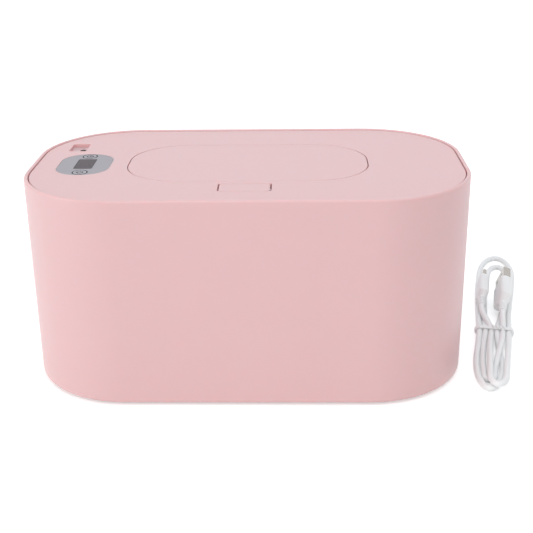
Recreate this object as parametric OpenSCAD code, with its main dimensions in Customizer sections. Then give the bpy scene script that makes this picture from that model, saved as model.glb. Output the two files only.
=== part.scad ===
// Baby wipe warmer: a tub with a lift-off cover that warms the wipes from above.
// The cover carries a flip lid with a push latch, a touch panel and a charging socket.
// A loose charging cable, folded into a tied hank, lies beside the tub.
//
// X runs along the case, Y runs from the front to the back, and Z is up.
// The origin is under the middle of the case, on the surface that the feet stand on.

/* [Case] */
// Length of the case from end to end
body_w = 220; // [208:1:236]
// Depth of the case from front to back
body_d = 130; // [126:1:144]
// Height of the case's wall, without the feet
body_h = 104.5; // [90:0.5:124]
// Radius of the case's corners, seen from above
corner_r = 49.5; // [46:0.5:54]
// Thickness of the case's wall
wall_t = 2; // [1.6:0.1:2.4]
// Thickness of the case's floor
floor_t = 2.2; // [1.8:0.1:3]
// Rounding of the rim's outer edge
rim_r = 1.2; // [0.6:0.1:1.4]
// Rounding of the case's bottom edge
base_r = 2; // [1:0.1:2.4]
// Width of the ledge that carries the cover
ledge_w = 4; // [3.4:0.1:4.6]
// Thickness of that ledge at its free edge
ledge_t = 1.2; // [0.8:0.1:2]

/* [Feet] */
// Diameter of a rubber foot
foot_d = 14; // [10:0.5:18]
// How far a foot stands out of the floor
foot_stand = 1.2; // [0.8:0.1:2.5]
// Depth of the recess that a foot is glued into
foot_recess = 1; // [0.6:0.1:1.2]
// Distance from the case's end to a foot's middle
foot_inset_x = 36; // [30:1:44]
// Distance from the case's front or back to a foot's middle
foot_inset_y = 26; // [22:1:32]

/* [Cover] */
// Gap between the cover and the case's wall
cover_gap = 0.4; // [0.3:0.05:0.6]
// How far the cover's top lies below the rim
cover_drop = 0.6; // [0.2:0.1:1.2]
// Height of the cover's upper shell
cover_h = 16; // [15:0.5:20]
// Thickness of the cover's top
deck_t = 2.2; // [2:0.1:2.6]
// Rounding of the cover's top edge
deck_r = 0.5; // [0.3:0.1:0.8]
// Thickness of the cover's side wall
skirt_t = 1.8; // [1.4:0.1:2.2]
// Thickness of the tray that closes the cover from below
tray_t = 1.8; // [1.4:0.1:2.4]
// Thickness of the locating lip and the walls on the tray
tray_wall_t = 1.6; // [1.2:0.1:1.8]
// Height of the tray's locating lip
lip_h = 3; // [2:0.5:5]
// Width of the cover's seal
seal_w = 2.2; // [1.6:0.1:2.4]
// Height of the cover's seal
seal_t = 1.4; // [1:0.1:2]

/* [Lid] */
// Distance from the case's end to the lid's end
lid_inset = 49.5; // [48:0.5:55]
// Depth of the lid from front to back
lid_d = 65; // [60:1:68]
// Radius of the lid's corners
lid_r = 28; // [25:0.5:30]
// How far the lid's middle lies behind the case's middle
lid_y = -0.5; // [-2:0.5:1]
// Thickness of the lid's plate
lid_t = 2.2; // [2:0.1:2.4]
// Gap around the lid
lid_gap = 0.4; // [0.3:0.05:0.5]
// Rounding of the lid's top edge
edge_r = 0.4; // [0.2:0.1:0.6]
// Depth of the stiffening wall under the lid's edge
lid_skirt_h = 3; // [2:0.25:3.5]
// Thickness of that wall
lid_skirt_t = 1.8; // [1.6:0.1:2]
// Width of the bent hinge leaf under the lid's back edge
leaf_w = 24; // [20:1:30]
// Thickness of that leaf
leaf_t = 1.8; // [1.5:0.1:2]
// How far the hinge's axis lies behind the edge of the lid's opening
hinge_set = 6.5; // [6:0.25:8]
// Radius of the hinge barrel
barrel_r = 1.9; // [1.7:0.05:2.1]
// Diameter of the hinge pin
hinge_pin_d = 1.6; // [1.2:0.1:2]
// Running clearance all round a pin
pin_fit = 0.05; // [0.03:0.01:0.08]
// Width of the space for the spring in the middle of the hinge
spring_bay_w = 9; // [8:0.5:11]
// Length of a boss beside the hinge or the latch
boss_l = 4.5; // [3.5:0.5:6]

/* [Latch] */
// Width of the latch button
button_w = 24.2; // [20:0.2:28]
// Depth of the latch button
button_d = 11; // [10.5:0.1:12]
// Gap in front of and behind the latch button
button_gap = 0.4; // [0.35:0.05:0.6]
// Gap at each end of the latch button
button_side_gap = 0.7; // [0.4:0.05:1.2]
// Width of the strip of cover between the lid and the button
bridge_d = 4; // [3.6:0.1:4.6]
// Radius of the latch button's front corners
button_r = 2; // [1:0.25:3]
// Diameter of the latch pin
latch_pin_d = 1.5; // [1.2:0.1:1.8]
// Width of the lid's tongue and of the button's nose
tongue_w = 8; // [6:0.5:12]
// How far the tongue reaches below the lid
tongue_h = 9.5; // [8.5:0.25:9.5]

/* [Outlet] */
// Length of the opening that the wipes come through
throat_w = 84; // [76:1:88]
// Depth of that opening
throat_d = 32; // [28:1:34]
// Height of the collar around it, above the tray
collar_h = 7; // [5:0.25:7.5]
// Thickness of the soft mouth
mouth_t = 1.6; // [1.2:0.1:2]
// Length of the slot in the soft mouth
slot_w = 64; // [50:1:68]
// Width of that slot
slot_d = 12; // [10:1:16]
// Diameter of the round finger hole in its middle
slot_hole_d = 24; // [18:1:25]

/* [Heater] */
// Thickness of the heat plate
plate_t = 1; // [0.8:0.1:1.5]
// Distance from the case's outside to the heat plate's edge
plate_inset = 16; // [14:0.5:18]
// Thickness of the heater film
film_t = 0.3; // [0.2:0.05:0.5]
// Distance from the heat plate's edge to the heater film's edge
film_inset = 4; // [3:0.5:6]
// Height of the air space between the film and the tray
film_gap = 2.5; // [2.2:0.1:4]

/* [Control panel] */
// Width of the panel, along the case
panel_w = 26.5; // [25:0.5:29]
// Length of the panel, from front to back
panel_l = 37; // [37:0.5:40]
// Radius of the panel's corners
panel_r = 12; // [8:0.5:12.5]
// Thickness of the panel
panel_t = 0.5; // [0.3:0.1:0.8]
// Distance from the case's end to the panel's middle
panel_inset = 27; // [26:0.5:28.5]
// How far the panel's middle lies behind the case's middle
panel_y = -3.2; // [-4:0.2:-2]
// Width of the display window
window_w = 9.5; // [8:0.5:11]
// Length of the display window
window_l = 17.5; // [15:0.5:18]
// Diameter of a touch key's ring
key_d = 8; // [7:0.25:8.25]
// Distance between the middles of the two touch keys
key_pitch = 28.4; // [27.8:0.2:28.8]
// Depth of the rings and marks in the panel
key_depth = 0.15; // [0.1:0.05:0.2]

/* [Charging socket] */
// Width of the pocket around the socket
pocket_w = 9.25; // [8.75:0.25:10]
// Length of that pocket
pocket_l = 14.25; // [14:0.25:15.5]
// Depth of that pocket
pocket_h = 2; // [1.4:0.1:2.4]
// Distance from the case's end to the pocket's middle
pocket_inset = 18; // [17.5:0.25:19]
// How far the pocket's middle lies behind the case's middle
pocket_y = 29; // [28.5:0.25:30]
// Width of the socket's metal shell
socket_w = 8.94; // [8.9:0.02:9]
// Thickness of the socket's metal shell
socket_d = 3.26; // [3.2:0.02:3.3]

/* [Circuit board] */
// Width of the circuit board
board_w = 24; // [23:0.5:25]
// Length of the circuit board
board_l = 56; // [55:0.5:58]
// Thickness of the circuit board
board_t = 1.6; // [1:0.2:2]
// How far the board's middle lies behind the panel's middle
board_dy = 9.25; // [8.5:0.25:10]
// Height of the display module on the board
display_h = 6.3; // [5.5:0.1:7]

/* [Screws] */
// Diameter of a screw's shank
screw_d = 2; // [1.6:0.1:2.4]
// Diameter of a screw's head
screw_head_d = 4; // [3.4:0.1:4.6]
// Height of a screw's head
screw_head_h = 1.3; // [1:0.1:1.6]
// Diameter of the posts that the screws hold in
post_d = 5.4; // [5:0.1:6]

/* [Cable] */
// Diameter of the charging cable
cord_d = 3.2; // [3:0.1:3.4]
// Thickness of the wire tie around the hank
tie_t = 1.4; // [1.2:0.1:1.6]
// Width of the wire tie
tie_w = 3; // [2:0.5:5]

/* [Hidden] */

$fn = 96;
// Small overlap that joins two shapes of one piece
eps = 0.05;
// Gap between two fixed pieces that are assembled together
fit = 0.1;

// Colours
pink = [0.90, 0.76, 0.77];
panel_grey = [0.68, 0.69, 0.72];
window_grey = [0.40, 0.38, 0.41];
soft_white = [0.93, 0.93, 0.92];
steel = [0.75, 0.75, 0.77];
rubber = [0.30, 0.30, 0.31];
cable_white = [0.95, 0.95, 0.95];

// Heights
floor_z = foot_stand + floor_t;
rim_z = foot_stand + body_h;
deck_z = rim_z - cover_drop;
deck_under = deck_z - deck_t;
skirt_z = deck_z - cover_h;
tray_z = skirt_z - tray_t;
floor_inset = base_r + 1;
ledge_z = tray_z - seal_t - fit;
film_z = tray_z - film_gap - film_t;
plate_z = film_z - plate_t;
collar_z = skirt_z + collar_h;
mouth_z = collar_z + mouth_t;
lid_under = deck_z - lid_t;
board_top = deck_under - display_h;
board_z = board_top - board_t;

// The cover's outline
cover_w = body_w - 2 * (wall_t + cover_gap);
cover_d = body_d - 2 * (wall_t + cover_gap);
cover_r = corner_r - wall_t - cover_gap;
seal_inset = 0.8;

// The lid, its opening and its hinge
lid_w = body_w - 2 * lid_inset;
lid_front = lid_y - lid_d / 2;
lid_back = lid_y + lid_d / 2;
hinge_y = lid_back + lid_gap + hinge_set;
hinge_z = deck_under - barrel_r - 0.3;
edge_h = deck_z - hinge_z;
hinge_pin_r = hinge_pin_d / 2;
hinge_pin_l = leaf_w + 2 * (lid_gap + boss_l) - 2;
hinge_boss_r = 2.4;
// The leaf curves around the edge of the lid's opening, down to a spoke under the barrel
leaf_r = norm([hinge_set, edge_h]) + 0.3;
leaf_outer_r = leaf_r + leaf_t;
spring_bay_h = 5;
spring_wire_r = 0.2;
lid_coil_l = spring_bay_w - 3.4;
// How far the lid keeps from the cover's edge as it swings, and the turn of its corner that needs it
swing_gap = 0.2;
swing_turn = 52;
corner_x = lid_w / 2 - lid_r;
opening_r = lid_r + lid_gap;

// Ribs that hold the lid's seal, as distances from the throat's edge
rib_t = 1;
rib_h = 2.5;
inner_rib = 0.2;
outer_rib = 3.8;

// The latch
button_back = lid_front - lid_gap - bridge_d - button_gap;
button_front = button_back - button_d;
latch_y = button_back - 2.2;
latch_z = deck_z - 2.7;
latch_barrel_r = 2;
latch_boss_r = 2.2;
latch_pin_l = button_w + 2 * (button_side_gap + boss_l) - 2;
latch_pin_r = latch_pin_d / 2;
nose_h = 1.2;
nose_room = tongue_w + 2;
catch_t = 1.6;
catch_gap = 0.6;
leg_t = 2;
tongue_t = 1.4;
hook_l = 1.2;
hook_h = 2;
hook_front = lid_front + 0.6;
tongue_z = lid_under - tongue_h;
nose_tip = hook_front - 1.8;
catch_z = tongue_z + hook_h + 0.4;
latch_spring_y = button_front + 3.4;
latch_spring_seat = skirt_z + 7;
latch_coil_r = 1.9;
coil_wire_r = 0.25;
coil_end = 0.3;

// The well around the lid's opening, closed by a wall on the tray
well_end_gap = 3.5;
well_front_gap = 1.6;
well_back_gap = 2.6;
well_w = lid_w + 2 * well_end_gap;
well_front = lid_front - well_front_gap;
well_back = hinge_y + barrel_r + well_back_gap;
well_d = well_back - well_front;
well_y = (well_back + well_front) / 2;
well_r = lid_r;

// The panel, the pocket and the board
panel_x = panel_inset - body_w / 2;
window_y = panel_y + 0.55;
window_r = 0.8;
window_rim = 0.8;
ring_line = 0.45;
pocket_x = pocket_inset - body_w / 2;
pocket_z = deck_z - pocket_h;
pocket_wall = 1.2;
pocket_r = 1;
socket_wall = 0.3;
socket_fit = 0.15;
socket_x = pocket_x + 1.5;
socket_y = pocket_y - 1.85;
board_y = panel_y + board_dy;
touch_coil_r = 2.4;
key_y = [panel_y - key_pitch / 2, panel_y + key_pitch / 2];

// Fastening points
post_r = post_d / 2;
post_gap = 0.8;
lip_inset = skirt_t + fit + tray_wall_t;
tray_post_x = cover_w / 2 - lip_inset - post_r - post_gap;
tray_post_y = cover_d / 2 - lip_inset - post_r - post_gap;
side_post_x = cover_w / 2 - 45.6;
tray_posts = [
    [-side_post_x, -tray_post_y], [-side_post_x, tray_post_y],
    [side_post_x, -tray_post_y], [side_post_x, tray_post_y],
    [-tray_post_x, 0], [tray_post_x, 0],
];
board_post_inset = 3;
board_post_x = board_w / 2 - board_post_inset;
board_post_y = board_l / 2 - board_post_inset;
pocket_post_gap = 3.2;
board_posts = [
    [panel_x + board_post_x, board_y + board_post_y],
    [panel_x + board_post_x, board_y - board_post_y],
    [panel_x - board_post_x, board_y - board_post_y],
    [panel_x - board_post_x, pocket_y - pocket_l / 2 - pocket_wall - pocket_post_gap],
];
screw_bite = 5;
board_bite = 3;

// The heat plate, the heater film and what lies on it
plate_w = body_w - 2 * plate_inset;
plate_d = body_d - 2 * plate_inset;
plate_r = corner_r - plate_inset;
plate_post_x = plate_w / 2 - 39;
plate_post_y = plate_d / 2 - 9;
end_post_x = plate_w / 2 - 10;
plate_posts = [
    [-plate_post_x, -plate_post_y], [-plate_post_x, plate_post_y],
    [plate_post_x, -plate_post_y], [plate_post_x, plate_post_y],
    [-end_post_x, 0], [end_post_x, 0],
];
plate_bite = 0.6;
film_top = film_z + film_t;
sensor_d = 1.8;
sensor_l = 5;
sensor_at = [32 - plate_w / 2, 29 - plate_d / 2];
cutout_size = [9, 4, 2];
cutout_at = [28 - plate_w / 2, plate_d / 2 - 29];

// The heater's two wires, from the board down through the tray and onto the film
wire_r = 0.6;
wire_pitch = 1.6;
wire_hole_d = 5;
wire_hole_x = panel_x + board_w / 2 + wire_hole_d / 2;
wire_hole_y = panel_y - 10.8;
wire_lie_z = film_top + wire_r + fit;
wire_route = [
    [-4.4, 0, board_z - 0.5], [-4.1, 0, board_z - 1.6], [-3, 0, board_z - 3],
    [-1.2, 0, board_z - 4.4], [-0.3, 0, board_z - 5.8], [0, 0, skirt_z], [0.1, 0, tray_z],
    [0.5, 0, wire_lie_z + 0.7], [1.3, 0, wire_lie_z + 0.1], [7, 0, wire_lie_z],
];

// The collar around the throat and the soft mouth on it
collar_t = 2;
mouth_skirt_h = 2.5;

// The hank of cable, in its own frame: X across it and Y along it, from its near end
hank_x = 122;
hank_y = -53;
hank_tilt = 11;
cord_r = cord_d / 2;
near_half = 9 + cord_r;
far_half = 11 + cord_r;
hank_l = 183;
tie_y = 66;
// Where the cable lies higher than one layer, from the near end
raised_l = 80;
double_l = 54;
triple_l = 34;
bundle_half = 3 * cord_d;
bundle_top = tie_t + cord_d;

// Plugs: the end of the strain relief in the hank's frame, the pitch and roll, and sizes
usb_c_tail = [-7.5, 91, 7.4];
usb_c_turn = [8, -75];
usb_c_w = 10.4;
usb_c_h = 5.8;
usb_c_l = 20;
usb_c_r = 2.5;
usb_c_metal = [8.3, 2.4, 6.6];
usb_c_metal_r = 1.15;
usb_a_tail = [4.2, 80, 9.6];
usb_a_turn = [6, -70];
usb_a_w = 14;
usb_a_h = 6.6;
usb_a_l = 22;
usb_a_r = 2.2;
usb_a_metal = [12, 4.5, 12];
usb_a_metal_r = 0.4;
usb_a_window = 2.2;
usb_a_tongue = [11.2, 10.8, 1.9];
metal_t = 0.3;
relief_l = 8;
relief_wall = 0.5;

// Routes of the two free stretches of cable, from each plug down into the hank
lead_c_route = [
    [-7.5, 91, 7.4], [-7.4, 88, 6.9], [-6.8, 84.5, 6.1], [-5.6, 81, 5.2],
    [-4.2, 77.5, 4.4], [-2.9, 74, 3.8], [-2, 70.5, 3.4],
];
lead_a_route = [
    [4.2, 80, 9.6], [4.2, 78, 9.1], [4.3, 76, 7.9], [4.5, 74, 6.3], [4.7, 72, 4.9],
    [4.8, 70, 3.9], [4.8, 68.4, 3.4],
];

// ---- Shapes that repeat ----

// A rectangle with round corners, about the origin
module rounded_rect(w, d, r) {
    square([w - 2 * r, d], center = true);
    square([w, d - 2 * r], center = true);
    for (x = [-1, 1], y = [-1, 1])
        translate([x * (w / 2 - r), y * (d / 2 - r)])
            circle(r);
}

// A rounded rectangle that is filled from one height to another
module slab(w, d, r, z0, z1) {
    translate([0, 0, z0])
        linear_extrude(z1 - z0)
            rounded_rect(w, d, r);
}

// A quarter of a disc, up and out from the origin
module quarter(r) {
    intersection() {
        circle(r);
        square(r + eps);
    }
}

// Carries a profile around a rounded rectangle. In the profile, X is the distance from the
// middle of the corner arcs, so that X = r is on the outline, and Y is the height.
module around(w, d, r) {
    for (i = [0:3])
        rotate([0, 0, 90 * i])
            translate([(i % 2 == 0 ? w : d) / 2 - r, (i % 2 == 0 ? d : w) / 2 - r, 0])
                rotate_extrude(angle = 90)
                    children();
    for (side = [0, 1]) {
        mirror([0, side, 0])
            translate([r - w / 2, d / 2 - r, 0])
                rotate([90, 0, 90])
                    linear_extrude(w - 2 * r)
                        children();
        mirror([side, 0, 0])
            translate([w / 2 - r, d / 2 - r, 0])
                rotate([90, 0, 0])
                    linear_extrude(d - 2 * r)
                        children();
    }
}

// A cylinder along X, about the origin
module rod_x(r, l) {
    rotate([0, 90, 0])
        cylinder(r = r, h = l, center = true);
}

function along(p, i) =
    let (d = p[min(i + 1, len(p) - 1)] - p[max(i - 1, 0)])
    d / norm(d);

// A round tube along a route that is nowhere upright
module tube(route, r, sides) {
    rings = len(route);
    points = [
        for (i = [0:rings - 1])
            let (
                t = along(route, i),
                across = cross([0, 0, 1], t) / norm(cross([0, 0, 1], t)),
                up = cross(t, across)
            )
            for (j = [0:sides - 1])
                route[i] + r * (cos(360 * j / sides) * across + sin(360 * j / sides) * up)
    ];
    walls = [
        for (i = [0:rings - 2], j = [0:sides - 1])
            let (
                a = i * sides + j,
                b = i * sides + (j + 1) % sides
            )
            each [[a, a + sides, b + sides], [a, b + sides, b]]
    ];
    near_end = [for (j = [0:sides - 1]) j];
    far_end = [for (j = [sides - 1:-1:0]) (rings - 1) * sides + j];
    polyhedron(points = points, faces = concat(walls, [near_end, far_end]));
}

// The points of a coil about the Z axis
function coil_points(r, height, turns, z0 = 0, steps = 14) = [
    for (i = [0:turns * steps])
        [r * cos(360 * i / steps), r * sin(360 * i / steps), z0 + height * i / (turns * steps)]
];

// A pan-head screw that points up, with the underside of its head at the origin
module screw(shank_l) {
    cylinder(d = screw_d, h = shank_l, $fn = 24);
    difference() {
        translate([0, 0, -screw_head_h])
            cylinder(d = screw_head_d, h = screw_head_h, $fn = 32);
        translate([0, 0, -screw_head_h - eps])
            for (a = [0, 90])
                rotate([0, 0, a])
                    translate([-screw_head_d * 0.3, -0.25, 0])
                        cube([screw_head_d * 0.6, 0.5, 0.7]);
    }
}

// ---- Tub ----

module case_profile() {
    inner = corner_r - wall_t;
    translate([inner, foot_stand + base_r])
        square([wall_t, body_h - base_r - rim_r]);
    translate([inner, rim_z - rim_r - eps])
        square([wall_t - rim_r, rim_r + eps]);
    translate([corner_r - rim_r, rim_z - rim_r])
        quarter(rim_r);
    translate([corner_r - base_r, foot_stand + base_r])
        mirror([0, 1])
            quarter(base_r);
    // Rim of the floor
    translate([inner - ledge_w, foot_stand])
        square([ledge_w + wall_t - base_r, floor_t]);
}

module outer_case() {
    color(pink)
        difference() {
            union() {
                around(body_w, body_d, corner_r)
                    case_profile();
                slab(body_w - 2 * floor_inset, body_d - 2 * floor_inset, corner_r - floor_inset,
                    foot_stand, floor_z);
                around(body_w, body_d, corner_r)
                    polygon([
                        [corner_r - wall_t + eps, ledge_z],
                        [corner_r - wall_t - ledge_w, ledge_z],
                        [corner_r - wall_t - ledge_w, ledge_z - ledge_t],
                        [corner_r - wall_t + eps, ledge_z - ledge_t - ledge_w],
                    ]);
            }
            feet(foot_stand - eps, foot_stand + foot_recess);
        }
}

module feet(z0, z1) {
    for (x = [-1, 1], y = [-1, 1])
        translate([x * (body_w / 2 - foot_inset_x), y * (body_d / 2 - foot_inset_y), z0])
            cylinder(d = foot_d, h = z1 - z0);
}

module rubber_feet() {
    color(rubber)
        feet(0, foot_stand + foot_recess);
}

// ---- Cover: shells and seals ----

module cover_profile() {
    translate([cover_r - skirt_t, skirt_z])
        square([skirt_t, cover_h - deck_r]);
    translate([cover_r - skirt_t, deck_z - deck_r - eps])
        square([skirt_t - deck_r, deck_r + eps]);
    translate([cover_r - deck_r, deck_z - deck_r])
        quarter(deck_r);
}

// The opening that the lid closes
module lid_opening() {
    translate([0, lid_y])
        rounded_rect(lid_w + 2 * lid_gap, lid_d + 2 * lid_gap, opening_r);
}

// The button's outline: square at the back and round at its front corners
module button_outline(gap = 0, side_gap = 0) {
    r = button_r + gap;
    w = button_w + 2 * side_gap;
    translate([-w / 2, button_front - gap + r])
        square([w, button_d + 2 * gap - r]);
    translate([r - w / 2, button_front - gap])
        square([w - 2 * r, button_d]);
    for (x = [-1, 1])
        translate([x * (w / 2 - r), button_front - gap + r])
            circle(r);
}

module posts(places, z0, z1) {
    for (p = places)
        translate([p[0], p[1], z0])
            cylinder(d = post_d, h = z1 - z0);
}

module pilot_holes(places, z0, z1) {
    for (p = places)
        translate([p[0], p[1], z0])
            cylinder(d = screw_d, h = z1 - z0, $fn = 24);
}

// Two bosses that hold the ends of a pin
module pin_bosses(inner_w, y, z, r) {
    for (x = [-1, 1])
        translate([x * (inner_w / 2 + boss_l / 2), y, z]) {
            rod_x(r, boss_l);
            translate([-boss_l / 2, -r, 0])
                cube([boss_l, 2 * r, deck_under - z + eps]);
        }
}

module top_cover() {
    color(pink)
        difference() {
            union() {
                around(cover_w, cover_d, cover_r)
                    cover_profile();
                slab(cover_w - 2 * deck_r, cover_d - 2 * deck_r, cover_r - deck_r, deck_under, deck_z);
                pin_bosses(leaf_w + 2 * lid_gap, hinge_y, hinge_z, hinge_boss_r);
                pin_bosses(button_w + 2 * button_side_gap, latch_y, latch_z, latch_boss_r);
                posts(tray_posts, skirt_z, deck_under + eps);
                posts(board_posts, board_top, deck_under + eps);
                translate([pocket_x, pocket_y, 0])
                    slab(pocket_w + 2 * pocket_wall, pocket_l + 2 * pocket_wall,
                        pocket_r + pocket_wall, pocket_z - pocket_wall, deck_under + eps);
            }
            translate([0, 0, deck_under - eps])
                linear_extrude(deck_t + 2 * eps) {
                    lid_opening();
                    button_outline(button_gap, button_side_gap);
                }
            translate([panel_x, panel_y, 0])
                slab(panel_w + 2 * fit, panel_l + 2 * fit, panel_r + fit, deck_z - panel_t, deck_z + eps);
            translate([panel_x, window_y, 0])
                slab(window_w + 2 * fit, window_l + 2 * fit, window_r, deck_under - eps, deck_z);
            translate([pocket_x, pocket_y, 0])
                slab(pocket_w, pocket_l, pocket_r, pocket_z, deck_z + eps);
            socket_hole();
            translate([0, hinge_y, hinge_z])
                rod_x(hinge_pin_r, hinge_pin_l);
            translate([0, latch_y, latch_z])
                rod_x(latch_pin_r, latch_pin_l);
            pilot_holes(tray_posts, skirt_z - eps, skirt_z + screw_bite + 1);
            pilot_holes(board_posts, board_top - eps, board_top + board_bite + 0.5);
        }
}

module socket_outline(grow = 0) {
    d = socket_d + 2 * grow;
    rounded_rect(d, socket_w + 2 * grow, d / 2 - 0.02);
}

module socket_hole() {
    translate([socket_x, socket_y, pocket_z - pocket_wall - eps])
        linear_extrude(pocket_wall + 2 * eps)
            socket_outline(socket_fit);
}

// Outline of the throat that the wipes come up through, grown by a wall
module throat_outline(grow = 0) {
    translate([0, lid_y])
        rounded_rect(throat_w + 2 * grow, throat_d + 2 * grow, throat_d / 2 - 0.02 + grow);
}

module well_outline(grow = 0) {
    translate([0, well_y])
        rounded_rect(well_w + 2 * grow, well_d + 2 * grow, well_r + grow);
}

module cover_tray() {
    lip_r = cover_r - skirt_t - fit;
    color(soft_white)
        difference() {
            union() {
                slab(cover_w, cover_d, cover_r, tray_z, skirt_z);
                around(cover_w, cover_d, cover_r)
                    translate([lip_r - tray_wall_t, skirt_z - eps])
                        square([tray_wall_t, lip_h + eps]);
                translate([0, 0, skirt_z - eps])
                    linear_extrude(deck_under - fit - skirt_z + eps)
                        difference() {
                            well_outline(tray_wall_t);
                            well_outline();
                        }
                translate([0, 0, skirt_z - eps])
                    linear_extrude(collar_h + eps)
                        throat_outline(collar_t);
                translate([0, 0, film_z])
                    posts(plate_posts, 0, tray_z - film_z + eps);
                // Seat of the latch spring
                translate([0, latch_spring_y, skirt_z - eps])
                    cylinder(d = 6, h = latch_spring_seat - skirt_z + eps);
                // Catch above the lid's hook
                translate([-nose_room / 2, well_front - eps, catch_z])
                    cube([nose_room, hook_front - catch_gap - well_front + eps, catch_t]);
            }
            translate([0, 0, film_z - eps])
                linear_extrude(collar_z - film_z + 2 * eps)
                    throat_outline();
            // Window for the button's nose
            translate([-nose_room / 2, well_front - tray_wall_t - eps, tongue_z - 1])
                cube([nose_room, tray_wall_t + 2 * eps, catch_z - tongue_z + 1]);
            pilot_holes(tray_posts, tray_z - eps, skirt_z + eps);
            pilot_holes(plate_posts, film_z - eps, tray_z + 1);
            // Way down for the heater's wires
            translate([wire_hole_x, wire_hole_y, tray_z - eps])
                cylinder(d = wire_hole_d, h = tray_t + 2 * eps);
        }
}

module cover_seal() {
    color(soft_white)
        around(cover_w, cover_d, cover_r)
            translate([cover_r - seal_inset - seal_w, tray_z - seal_t])
                square([seal_w, seal_t]);
}

module tray_screws() {
    color(steel)
        for (p = tray_posts)
            translate([p[0], p[1], tray_z])
                screw(tray_t + screw_bite);
}

module outlet_mouth() {
    color([0.86, 0.80, 0.80])
        difference() {
            translate([0, 0, collar_z - mouth_skirt_h])
                linear_extrude(mouth_t + mouth_skirt_h)
                    throat_outline(2 * collar_t);
            translate([0, 0, collar_z - mouth_skirt_h - eps])
                linear_extrude(mouth_skirt_h + eps)
                    throat_outline(collar_t + fit);
            translate([0, lid_y, 0]) {
                slab(slot_w, slot_d, slot_d / 2 - 0.02, collar_z - eps, mouth_z + eps);
                translate([0, 0, collar_z - eps])
                    cylinder(d = slot_hole_d, h = mouth_t + 2 * eps);
            }
        }
}

// ---- Cover: heater ----

module heat_plate() {
    color(steel)
        difference() {
            slab(plate_w, plate_d, plate_r, plate_z, film_z);
            translate([0, 0, plate_z - eps])
                linear_extrude(plate_t + 2 * eps)
                    throat_outline(fit);
            pilot_holes(plate_posts, plate_z - eps, film_z + eps);
        }
}

module heater_film() {
    color([0.78, 0.50, 0.20])
        difference() {
            slab(plate_w - 2 * film_inset, plate_d - 2 * film_inset, plate_r - film_inset,
                film_z, film_top);
            translate([0, 0, film_z - eps])
                linear_extrude(film_t + 2 * eps)
                    throat_outline(film_inset);
            for (p = plate_posts)
                translate([p[0], p[1], film_z - eps])
                    cylinder(d = post_d + 1, h = film_t + 2 * eps);
        }
}

module plate_screws() {
    color(steel)
        for (p = plate_posts)
            translate([p[0], p[1], plate_z])
                screw(plate_t + film_gap + film_t + plate_bite);
}

module temperature_sensor() {
    color([0.12, 0.12, 0.13])
        translate([sensor_at[0], sensor_at[1], film_top + sensor_d / 2])
            rotate([0, 90, 0])
                cylinder(d = sensor_d, h = sensor_l, $fn = 32);
}

module thermal_cutout() {
    color([0.85, 0.85, 0.80])
        translate([cutout_at[0], cutout_at[1], film_top])
            cube(cutout_size);
}

module heater_wires() {
    color([0.75, 0.12, 0.10])
        for (side = [-1, 1])
            translate([wire_hole_x, wire_hole_y + side * wire_pitch / 2, 0])
                tube(wire_route, wire_r, 8);
}

// ---- Cover: electronics ----

module control_board() {
    color([0.10, 0.35, 0.20])
        difference() {
            translate([panel_x - board_w / 2, board_y - board_l / 2, board_z])
                cube([board_w, board_l, board_t]);
            pilot_holes(board_posts, board_z - eps, board_top + eps);
        }
}

module board_screws() {
    color(steel)
        for (p = board_posts)
            translate([p[0], p[1], board_z])
                screw(board_t + board_bite);
}

module display_module() {
    color([0.20, 0.20, 0.22])
        translate([panel_x - window_w / 2 - window_rim, window_y - window_l / 2 - window_rim, board_top])
            cube([window_w + 2 * window_rim, window_l + 2 * window_rim, display_h - fit]);
}

module touch_springs() {
    color(steel)
        for (y = key_y)
            translate([panel_x, y, board_top])
                tube(coil_points(touch_coil_r, display_h - 2 * coil_end, 5, coil_end), coil_wire_r, 6);
}

module usb_c_socket() {
    color(steel)
        translate([socket_x, socket_y, 0]) {
            difference() {
                translate([0, 0, board_top])
                    linear_extrude(pocket_z - board_top)
                        socket_outline();
                translate([0, 0, board_top + 1.2])
                    linear_extrude(pocket_z - board_top)
                        socket_outline(-socket_wall);
            }
            // Contact tongue
            translate([-socket_d * 0.11, -socket_w * 0.37, board_top + 1.1])
                cube([socket_d * 0.22, socket_w * 0.74, pocket_z - board_top - 1.9]);
        }
}

module control_panel() {
    color(panel_grey)
        difference() {
            translate([panel_x, panel_y, 0])
                slab(panel_w, panel_l, panel_r, deck_z - panel_t, deck_z);
            translate([panel_x, window_y, 0])
                slab(window_w, window_l, window_r, deck_z - panel_t - eps, deck_z + eps);
            for (y = key_y)
                translate([panel_x, y, deck_z - key_depth])
                    difference() {
                        cylinder(d = key_d, h = key_depth + eps);
                        translate([0, 0, -eps])
                            cylinder(d = key_d - 2 * ring_line, h = key_depth + 3 * eps);
                    }
        }
}

module display_window() {
    color(window_grey)
        translate([panel_x, window_y, 0])
            slab(window_w - fit, window_l - fit, window_r - fit / 2, deck_under + fit, deck_z);
}

// ---- Hinge and latch hardware ----

module hinge_pin() {
    color(steel)
        translate([0, hinge_y, hinge_z])
            rod_x(hinge_pin_r, hinge_pin_l);
}

module lid_spring() {
    coil_r = hinge_pin_r + spring_wire_r + 0.15;
    leg_r = coil_r + 0.2;
    leg_bend = 2.6;
    front_leg = leaf_r - 0.5;
    rear_leg = well_back - hinge_y - 0.4;
    color(steel)
        translate([0, hinge_y, hinge_z])
            rotate([0, 90, 0])
                translate([0, 0, -lid_coil_l / 2])
                    tube(concat(
                        [[leg_r, -front_leg, 0], [coil_r, -leg_bend, 0]],
                        coil_points(coil_r, lid_coil_l, 6),
                        [[coil_r, leg_bend, lid_coil_l], [leg_r, rear_leg, lid_coil_l]]
                    ), spring_wire_r, 6);
}

module latch_pin() {
    color(steel)
        translate([0, latch_y, latch_z])
            rod_x(latch_pin_r, latch_pin_l);
}

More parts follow.
